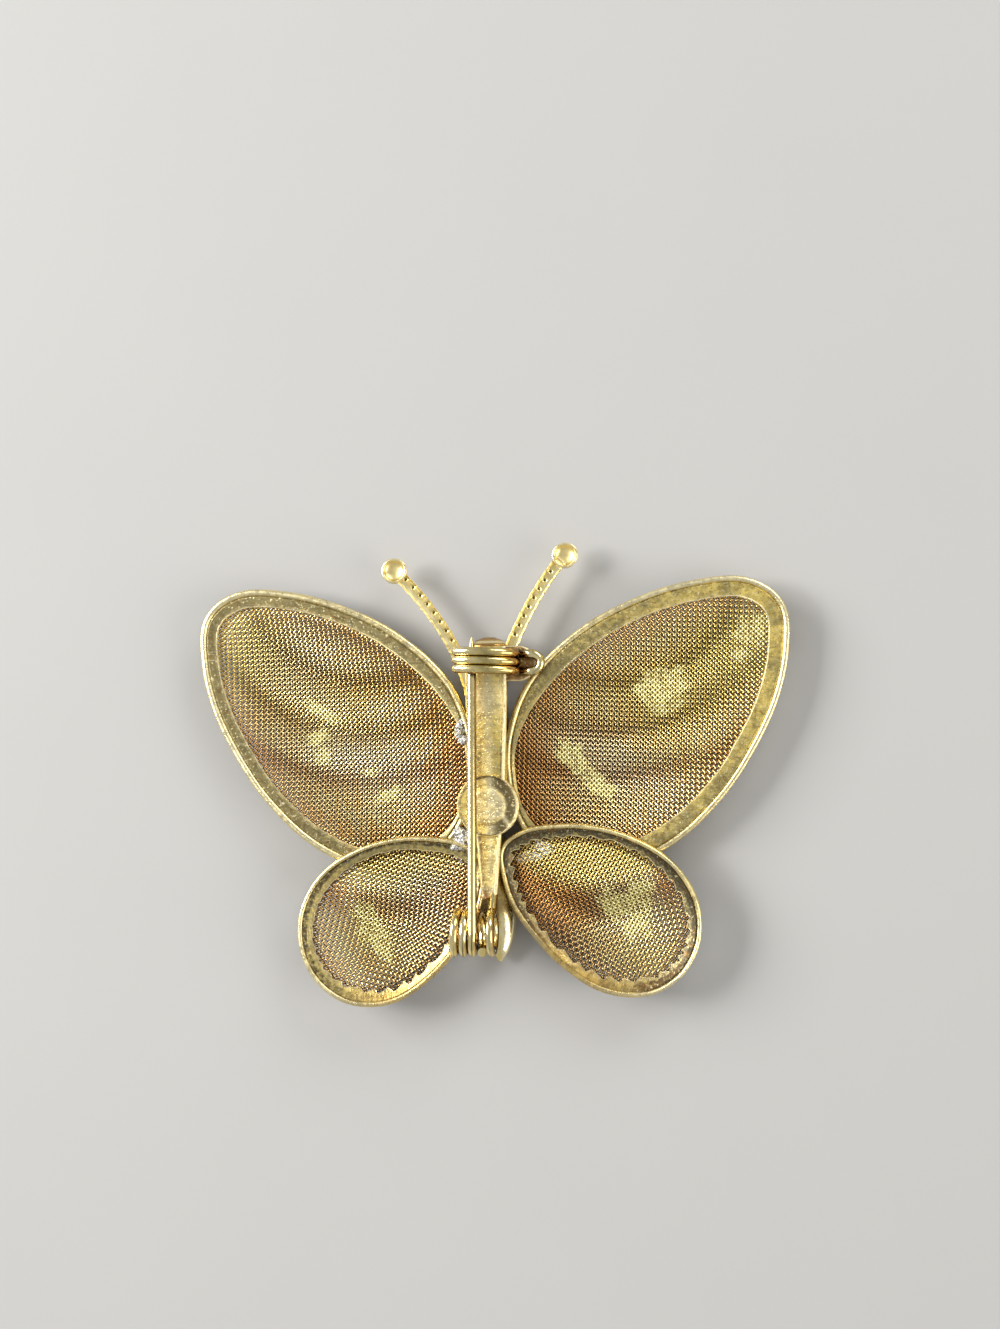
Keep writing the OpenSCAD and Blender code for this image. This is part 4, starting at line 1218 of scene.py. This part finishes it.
# Rings of the catch's tab: size as a share of its outline, height in mm, rubbed share with painted highlight
# on the rim, dirty share with painted shade
TAB_RINGS = [(0.05, 0, 0, 0.4), (1, 0, 0.2, 0.3), (1, 0.3, 0.5, 0), (1, 0.5, 1, 0), (0.985, 0.57, 1, 0),
             (0.96, 0.60, 0.9, 0), (0.92, 0.58, 0.1, 0.7), (0.6, 0.56, 0, 0.7), (0.05, 0.56, 0, 0.6)]
# The coil's axis, radius and pitch, and the fixed turn's place and the radius of its wire
COIL_Y, COIL_Z, COIL_R, COIL_PITCH, FIXED_X, FIXED_R = -15.45, 7.05, 1.94, 0.92, 0.44, 0.42
# The fixed turn's ends in degrees, its points, and the lean in degrees and length of its leg
TURN_FROM, TURN_TO, TURN_STEPS, LEG_LEAN, LEG_LEN, LEG_STEPS = -30, 325, 110, 48, 1.9, 12
# The stem's place across the brooch
PIN_X = -1.25


def bar_half_width(y):
    share = np.interp((y - BAR_END) / (BAR_TOP - BAR_END), *np.array(BAR_SHAPE).T)
    disc = np.sqrt(np.maximum(DISC_R ** 2 - (y - DISC_Y) ** 2, 0))
    return np.maximum(BAR_W / 2 * share, disc)


def bar_plate():
    """The channelled bar with its disc and torn boss, on a flat underside: points and marks."""
    y = np.linspace(BAR_END, BAR_TOP, BAR_ROWS)
    half = bar_half_width(y)[:, None]
    share = np.sin(np.linspace(-math.pi / 2, math.pi / 2, BAR_COLUMNS))
    x = half * share + 0.04 * flat_ripple(y * 0, y, 0.7, 2)[:, None] * (np.abs(share) > 0.9)
    y = np.repeat(y[:, None], BAR_COLUMNS, 1)
    from_edge, from_ends = half - np.abs(x), np.minimum(y - BAR_END, BAR_TOP - y)
    centre = np.hypot(x, y - DISC_Y)
    from_disc = DISC_R - centre
    on_disc = from_disc > 0
    inside = np.minimum(np.where(on_disc, from_disc, from_edge), from_ends + 0.1)
    wall = np.where(on_disc, DISC_WALL, CHANNEL_WALL)
    floor = ease((inside - wall + 0.10) / 0.20)
    torn = 0.22 * flat_ripple(x, y, 0.8, 15, level=7)
    boss = ease((BOSS_R - centre + torn + 0.22) / 0.55)
    ring = bell(centre - (BOSS_R + 0.2), 0.14)
    top = BAR_Z + BAR_T - CHANNEL_H * floor * (1 - boss) - 0.03 * ring
    top += 0.02 * (floor * flat_ripple(x, y, 0.6, 8) - boss * flat_ripple(x, y, 1.1, 12, level=4))
    top -= np.clip(EDGE_R * (2 - ease(from_edge / EDGE_R) - ease(from_ends / EDGE_R)), 0, 0.2)
    # The edges are rubbed, with painted highlights most on the right; the boss's right rim, a streak and the
    # channel's middle carry painted highlights
    edge = bell(from_edge - 0.16, 0.14) * (1.0 * (x > 0) + 0.4) * np.where(from_disc > 0.3, 0.3, 1.0)
    right = ease(x / 0.6) * ease((y - DISC_Y + 1.5) / 0.8)
    boss_rim = bell(centre + torn * 1.5 - BOSS_R + 0.45, 0.34) * right
    streak = bell((x - 1.1) + 0.63 * (y - DISC_Y + 0.4), 0.24) * (y < DISC_Y + 0.6) * (x < 2.4)
    channel = (0.5 * bell(y - 7.6, 1.6) + 0.45 * bell(x - 0.2, 0.45)) * floor
    worn = np.clip(edge + boss_rim + 0.9 * streak + 0.25 * boss + channel, 0, 1)
    # Painted shade along the walls, in the stem's shadow and at the lower end, darker on the channel's floor
    # about its middle, dirt round the boss
    low = (0.35 * bell(y - 1.6, 2.2) + 0.15 * ease((-0.45 - x) / 0.3)) * floor
    round_boss = (from_disc > 0.15) * (1 - boss) * ease(x + 0.5)
    grime = np.clip(0.8 * bell(inside - wall, 0.13) + low + round_boss + 0.8 * bell(y + 12, 0.8), 0, 1.2)
    # Tan painted shadow of the stem beside it, and tan painted shade at the lower end
    tan = np.clip(0.4 * bell(x + 0.68, 0.15) + 0.8 * bell(y + 12.2, 0.7), 0, 0.9)
    under = half * np.linspace(1, -1, UNDER_COLUMNS)
    under = np.stack([under, np.repeat(y[:, :1], UNDER_COLUMNS, 1), np.full_like(under, BAR_Z)], -1)
    points = np.concatenate([np.stack([x, y, top], -1), under], 1)
    marks = {key: np.pad(mark, ((0, 0), (0, UNDER_COLUMNS)), constant_values=below).ravel()
             for key, mark, below in (("worn", worn, 0), ("grime", grime, 0.5), ("tan", tan, 0))}
    return points.reshape(-1, 3), marks


def catch_tab():
    """The rounded tab under the catch: points, faces and marks."""
    outline = arc_points(TAB_X, TAB_Y, TAB_W / 2, TAB_W / 2, -90, 90, 60)
    outline += [(x, TAB_Y + TAB_W / 2) for x in np.linspace(TAB_X - 0.3, 0.2, 12)]
    outline += [(0, TAB_Y + y) for y in np.linspace(1.5, -1.5, 12)]
    outline += [(x, TAB_Y - TAB_W / 2) for x in np.linspace(0.2, TAB_X - 0.3, 12)]
    outline, count = np.array(outline), len(outline)
    middle = np.array([TAB_X * 0.6, TAB_Y])
    sizes, heights, worn, soil_and_shade = np.array(TAB_RINGS).T
    rings = [np.c_[middle + (outline - middle) * size, np.full(count, BAR_Z + height)]
             for size, height in zip(sizes, heights)]
    worn, soil_and_shade = np.repeat(worn, count), np.repeat(soil_and_shade, count)
    # The middle's painted shade is tan as well as dark
    marks = {"worn": worn, "grime": soil_and_shade, "tan": soil_and_shade * 1.1}
    return np.concatenate(rings), tube_faces(len(rings), count), marks


def wire_marks(piece, soil_and_shade):
    """Marks of drawn wire: a painted highlight on the upper left beside a painted dark line, painted shade on
    sides, right and underside, and the given dirt.
    """
    way = vertex_values(piece, "normal")
    left, up = -way[:, 0], way[:, 2]
    painted_dark_line = bell(left + 0.08, 0.09) * (up > 0)
    deep = 0.75 * bell(left + 0.08, 0.07) * (up > 0) + 0.8 * ease((np.abs(left) - 0.84) / 0.1)
    return {"worn": np.clip(0.1 + 0.7 * ease((0.6 * left + up - 0.35) / 0.6) - 0.6 * painted_dark_line, 0, 1),
            "grime": np.clip(soil_and_shade + 0.7 * ease((0.25 - up) / 0.6) + 0.45 * painted_dark_line, 0, 1),
            "tan": np.clip(0.8 * ease((-left - 0.45) / 0.3) + 0.4 * ease((0.2 - up) / 0.4), 0, 0.85),
            "deep": np.clip(deep, 0, 0.9)}


class BROOCH_OT_pin_bar(bpy.types.Operator):
    """Make the channelled bar with its disc, the tab under the catch and the coil's fixed turn"""
    bl_idname = "brooch.pin_bar"
    bl_label = "Pin bar"

    def execute(self, context):
        colours = context.scene.brooch_colours
        brushed, wire = gilt("Brushed gilt bar", colours), gilt("Gilt drawn wire", colours)
        points, marks = bar_plate()
        bar = new_mesh("pin_bar_plate", [(points, tube_faces(BAR_ROWS, BAR_COLUMNS + UNDER_COLUMNS))], marks)
        points, faces, marks = catch_tab()
        tab = new_mesh("catch_tab", [(points, faces)], marks)
        ring = [(FIXED_X, y, z, 1)
                for y, z in arc_points(COIL_Y, COIL_Z, COIL_R, COIL_R, TURN_FROM, TURN_TO, TURN_STEPS)]
        lean = math.radians(LEG_LEAN)
        leg = [(FIXED_X, BAR_END + 0.5 - s * math.sin(lean), BAR_Z + BAR_T / 2 + s * math.cos(lean), 0.92)
               for s in np.linspace(0, LEG_LEN, LEG_STEPS)]
        turn = wire_path("coil_fixed_turn", [ring, leg], FIXED_R * MM, wire)
        set_marks(turn.data, wire_marks(turn, 0.2))
        for piece, material in ((bar, brushed), (tab, brushed), (turn, wire)):
            finish_piece(piece, "brooch", "pin_bar", material)
        return {"FINISHED"}


# Catch and pin

# The catch's middle, its feet's height, its ends and its arches' rise, then the step between strands, their
# slant, an arch's last angle and roundness, and the run from its foot to the loop
CATCH_Y, CATCH_Z, CATCH_LEFT, CATCH_RIGHT, CATCH_RISE = 11.35, 5.79, -2.65, 6.0, 2.3
STRAND_STEP, CATCH_SLANT, ARCH_END, ARCH_ROUND, CATCH_RUN = 0.86, 0.45, 140, 0.85, 1.5
# Points along an arch, those of its rounded end in degrees, the end's reach in radii and the loop's points
ARCH_STEPS, END_ANGLES, END_REACH, LOOP_STEPS = 60, (88, 70, 50, 30, 12), 0.9, 26


def catch_slant(x):
    """How far the catch's strands run down at x."""
    return -CATCH_SLANT * (x - CATCH_LEFT) / (CATCH_RIGHT - CATCH_LEFT)


def catch_arch(y, foot, radius):
    """A strand that arches over the pin from its rounded free end to its foot."""
    half = (foot - CATCH_LEFT) / (1 - math.cos(math.radians(ARCH_END)))
    path = []
    for a in np.radians(ARCH_END * (1 - np.linspace(0, 1, ARCH_STEPS))):
        x = foot - half * (1 - math.cos(a))
        path.append((x, y + catch_slant(x), CATCH_Z + CATCH_RISE * math.sin(a) ** ARCH_ROUND, 1))
    first, second = np.array(path[0][:3]), np.array(path[1][:3])
    out = (first - second) / np.linalg.norm(first - second)
    end = [(*(first + out * radius * END_REACH * math.sin(b)), max(math.cos(b), 0.05))
           for b in np.radians(END_ANGLES)]
    return end + path


class BROOCH_OT_catch(bpy.types.Operator):
    """Bend the catch's hairpin and middle strand over the bar"""
    bl_idname = "brooch.catch"
    bl_label = "Catch"

    def execute(self, context):
        radius = context.scene.brooch_fittings.catch_wire / MM
        loop_x = CATCH_RIGHT - radius - STRAND_STEP
        upper, middle, lower = (catch_arch(CATCH_Y + step, loop_x - CATCH_RUN, radius)
                                for step in (STRAND_STEP, 0, -STRAND_STEP))
        bend = [(x, y, CATCH_Z, 1) for x, y in arc_points(
            loop_x, CATCH_Y + catch_slant(loop_x), STRAND_STEP, STRAND_STEP, 90, -90, LOOP_STEPS)]
        wire = gilt("Worn gilt catch wire", context.scene.brooch_colours)
        piece = wire_path("catch_wires", [upper + bend + lower[::-1], middle], radius * MM, wire, sides=22)
        x, up = vertex_values(piece, "co")[:, 0] / MM, vertex_values(piece, "normal")[:, 2]
        left, loop_end = 1 - ease((x + 2.6) / 3.2), ease((x - 3.9) / 0.6)
        right = ease((x - 1.6) / 1.8) * (1 - loop_end)
        marks = wire_marks(piece, 0.3)
        # Painted highlights at the free ends and the loop's end, tan painted shade on the right and below,
        # painted shade under the wire
        marks["worn"] *= 0.35 + 0.65 * np.maximum(left, loop_end)
        marks["tan"] = np.clip(0.75 * right + 0.85 * ease((0.62 - up) / 0.4), 0, 0.95)
        marks["deep"] = 0.9 * ease((0.42 - up) / 0.3)
        set_marks(piece.data, marks)
        finish_piece(piece, "brooch", "catch", wire)
        return {"FINISHED"}


# The stem's height at the catch, its tip and its point's length, and the coil's turns in all and before it
PIN_CATCH_Z, PIN_TIP_Y, PIN_POINT, COIL_TURNS, COIL_LEAD = 6.35, 13.6, 3.0, 3, 0.75
# Points along the stem, along its point and round one turn of the coil, and the point's end as a share
STEM_STEPS, POINT_STEPS, COIL_STEPS, POINT_END = 40, 26, 64, 0.12


def pin_stem():
    """The straight stem from the coil's top through the catch, with its slender point."""
    reach, drop = CATCH_Y - COIL_Y, PIN_CATCH_Z - COIL_Z
    slope = math.asin(COIL_R / math.hypot(reach, drop)) - math.atan2(drop, reach)
    start = np.array([PIN_X, COIL_Y + COIL_R * math.sin(slope), COIL_Z + COIL_R * math.cos(slope)])
    way = np.array([0, math.cos(slope), -math.sin(slope)])
    long = (PIN_TIP_Y - start[1]) / math.cos(slope)
    stem = [(*(start + way * s), 1.0) for s in np.linspace(0, long - PIN_POINT, STEM_STEPS)]
    for s in np.linspace(long - PIN_POINT, long, POINT_STEPS)[1:]:
        width = POINT_END + (1 - POINT_END) * math.sin((long - s) / PIN_POINT * math.pi / 2) ** 0.9
        stem.append((*(start + way * s), width))
    return stem


class BROOCH_OT_pin(bpy.types.Operator):
    """Draw the pin's stem, its point and the turns of the coil that move with it"""
    bl_idname = "brooch.pin"
    bl_label = "Pin"

    def execute(self, context):
        sizes = context.scene.brooch_fittings
        coil = []
        for turn in np.linspace(-COIL_LEAD, COIL_TURNS - COIL_LEAD, COIL_STEPS * COIL_TURNS):
            a = math.radians(90 + 360 * turn)
            coil.append((PIN_X - COIL_PITCH * turn, COIL_Y + COIL_R * math.cos(a),
                         COIL_Z + COIL_R * math.sin(a), sizes.coil_wire / sizes.pin_wire))
        metal = gilt("Polished gilt pin", context.scene.brooch_colours)
        piece = wire_path("pin_stem_and_coil", [pin_stem(), coil], sizes.pin_wire, metal, sides=24)
        set_marks(piece.data, wire_marks(piece, 0.15))
        finish_piece(piece, "pin", "pin", metal)
        return {"FINISHED"}


# Stage

# Half the floor's side in metres
FLOOR_SIZE = 0.9
# Soft lights aimed at the brooch: name, place in metres, width, height, setting, share of its power, colour
LIGHTS = [
    ("window_left", (-0.46, 0.18, 0.31), 0.34, 0.30, "key", 1.0, (1.0, 0.985, 0.96)),
    ("window_top", (0.30, 0.46, 0.29), 0.34, 0.24, "key", 0.4, (0.97, 0.985, 1.0)),
    ("lamp", (-0.38, 0.06, 0.32), 0.14, 0.14, "lamp", 1.0, (1.0, 0.99, 0.97)),
    ("fill_right", (0.50, -0.14, 0.26), 0.4, 0.4, "fill", 1.0, (1.0, 0.96, 0.9)),
]
ROOM_COLOUR = (1.0, 0.99, 0.965)
# Where the camera stands and what it looks at in mm, the way to its right and its roll in degrees
CAMERA_PLACE, CAMERA_TARGET = (22.244, 3.980, 163.183), (1.38, 10.9, 4.7)
CAMERA_RIGHT, CAMERA_ROLL = (0.99145, 0, -0.13052), 1.0
SENSOR_W = 36


def soft_light(name, place, width, height, power, colour):
    light = bpy.data.lights.new(name, "AREA")
    light.shape, light.size, light.size_y = "RECTANGLE", width, height
    light.energy, light.color = power, colour
    lamp = linked(name, light)
    lamp.location = place
    lamp.rotation_euler = (-Vector(place)).to_track_quat("-Z", "Y").to_euler()


def camera_matrix():
    """The camera's place and its turn towards the brooch."""
    place, target = Vector(CAMERA_PLACE) * MM, Vector(CAMERA_TARGET) * MM
    back = (place - target).normalized()
    right = Vector(CAMERA_RIGHT)
    up, roll = back.cross(right), math.radians(CAMERA_ROLL)
    side = right * math.cos(roll) - up * math.sin(roll)
    top = right * math.sin(roll) + up * math.cos(roll)
    return Matrix.Translation(place) @ Matrix((side, top, back)).transposed().to_4x4()


class BROOCH_OT_stage(bpy.types.Operator):
    """Set the pale floor, the soft lights and the camera"""
    bl_idname = "brooch.stage"
    bl_label = "Stage"

    def execute(self, context):
        stage = context.scene.brooch_stage
        mesh = bpy.data.meshes.new("floor")
        corners = [(-FLOOR_SIZE, -FLOOR_SIZE, 0), (FLOOR_SIZE, -FLOOR_SIZE, 0),
                   (FLOOR_SIZE, FLOOR_SIZE, 0), (-FLOOR_SIZE, FLOOR_SIZE, 0)]
        mesh.from_pydata(corners, [], [(0, 1, 2, 3)])
        recipe = Recipe("Pale matt floor", stage.floor)
        recipe.tint([0.97 * c for c in stage.floor], recipe.noise(0.05, 3, 0.5))
        mesh.materials.append(recipe.done(0.85, metal=0.0))
        linked("floor", mesh)
        for name, place, width, height, setting, share, colour in LIGHTS:
            soft_light(name, place, width, height, getattr(stage, setting) * share, colour)
        world = bpy.data.worlds.new("room")
        world.use_nodes = True
        background = next(n for n in world.node_tree.nodes if n.type == "BACKGROUND")
        background.inputs["Color"].default_value = (*ROOM_COLOUR, 1)
        background.inputs["Strength"].default_value = stage.sky
        context.scene.world = world
        lens = bpy.data.cameras.new("camera")
        lens.sensor_fit, lens.sensor_width, lens.lens = "HORIZONTAL", SENSOR_W, stage.lens
        lens.clip_start, lens.clip_end = 0.01, 10
        camera = linked("camera", lens)
        camera.matrix_world = camera_matrix()
        context.scene.camera = camera
        context.scene.view_settings.view_transform = "Standard"
        return {"FINISHED"}


class BROOCH_PT_panel(bpy.types.Panel):
    """Sizes, colours and pieces of the brooch"""
    bl_idname = "BROOCH_PT_panel"
    bl_label = "Butterfly brooch"
    bl_space_type = "VIEW_3D"
    bl_region_type = "UI"
    bl_category = "Brooch"

    def draw(self, context):
        for group in ("brooch_wings", "brooch_fittings", "brooch_colours", "brooch_stage"):
            values = getattr(context.scene, group)
            box = self.layout.box()
            for key in values.__annotations__:
                box.prop(values, key)
        for operator in PIECES:
            self.layout.operator(operator.bl_idname)


PIECES = [BROOCH_OT_rims, BROOCH_OT_woven_panels, BROOCH_OT_films, BROOCH_OT_body, BROOCH_OT_antennae,
          BROOCH_OT_pin_bar, BROOCH_OT_catch, BROOCH_OT_pin, BROOCH_OT_stage]
GROUPS = {"brooch_wings": WingSizes, "brooch_fittings": FittingSizes, "brooch_colours": FinishColours,
          "brooch_stage": StageSettings}


def register():
    for name, group in GROUPS.items():
        bpy.utils.register_class(group)
        setattr(bpy.types.Scene, name, bpy.props.PointerProperty(type=group))
    for piece in PIECES + [BROOCH_PT_panel]:
        bpy.utils.register_class(piece)


def unregister():
    for piece in reversed(PIECES + [BROOCH_PT_panel]):
        bpy.utils.unregister_class(piece)
    for name, group in GROUPS.items():
        delattr(bpy.types.Scene, name)
        bpy.utils.unregister_class(group)


def main():
    """Make the whole brooch."""
    register()
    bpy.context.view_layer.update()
    bpy.ops.brooch.rims()
    bpy.ops.brooch.woven_panels()
    bpy.ops.brooch.films()
    bpy.ops.brooch.body()
    bpy.ops.brooch.antennae()
    bpy.ops.brooch.pin_bar()
    bpy.ops.brooch.catch()
    bpy.ops.brooch.pin()
    bpy.ops.brooch.stage()


if __name__ == "__main__":
    main()
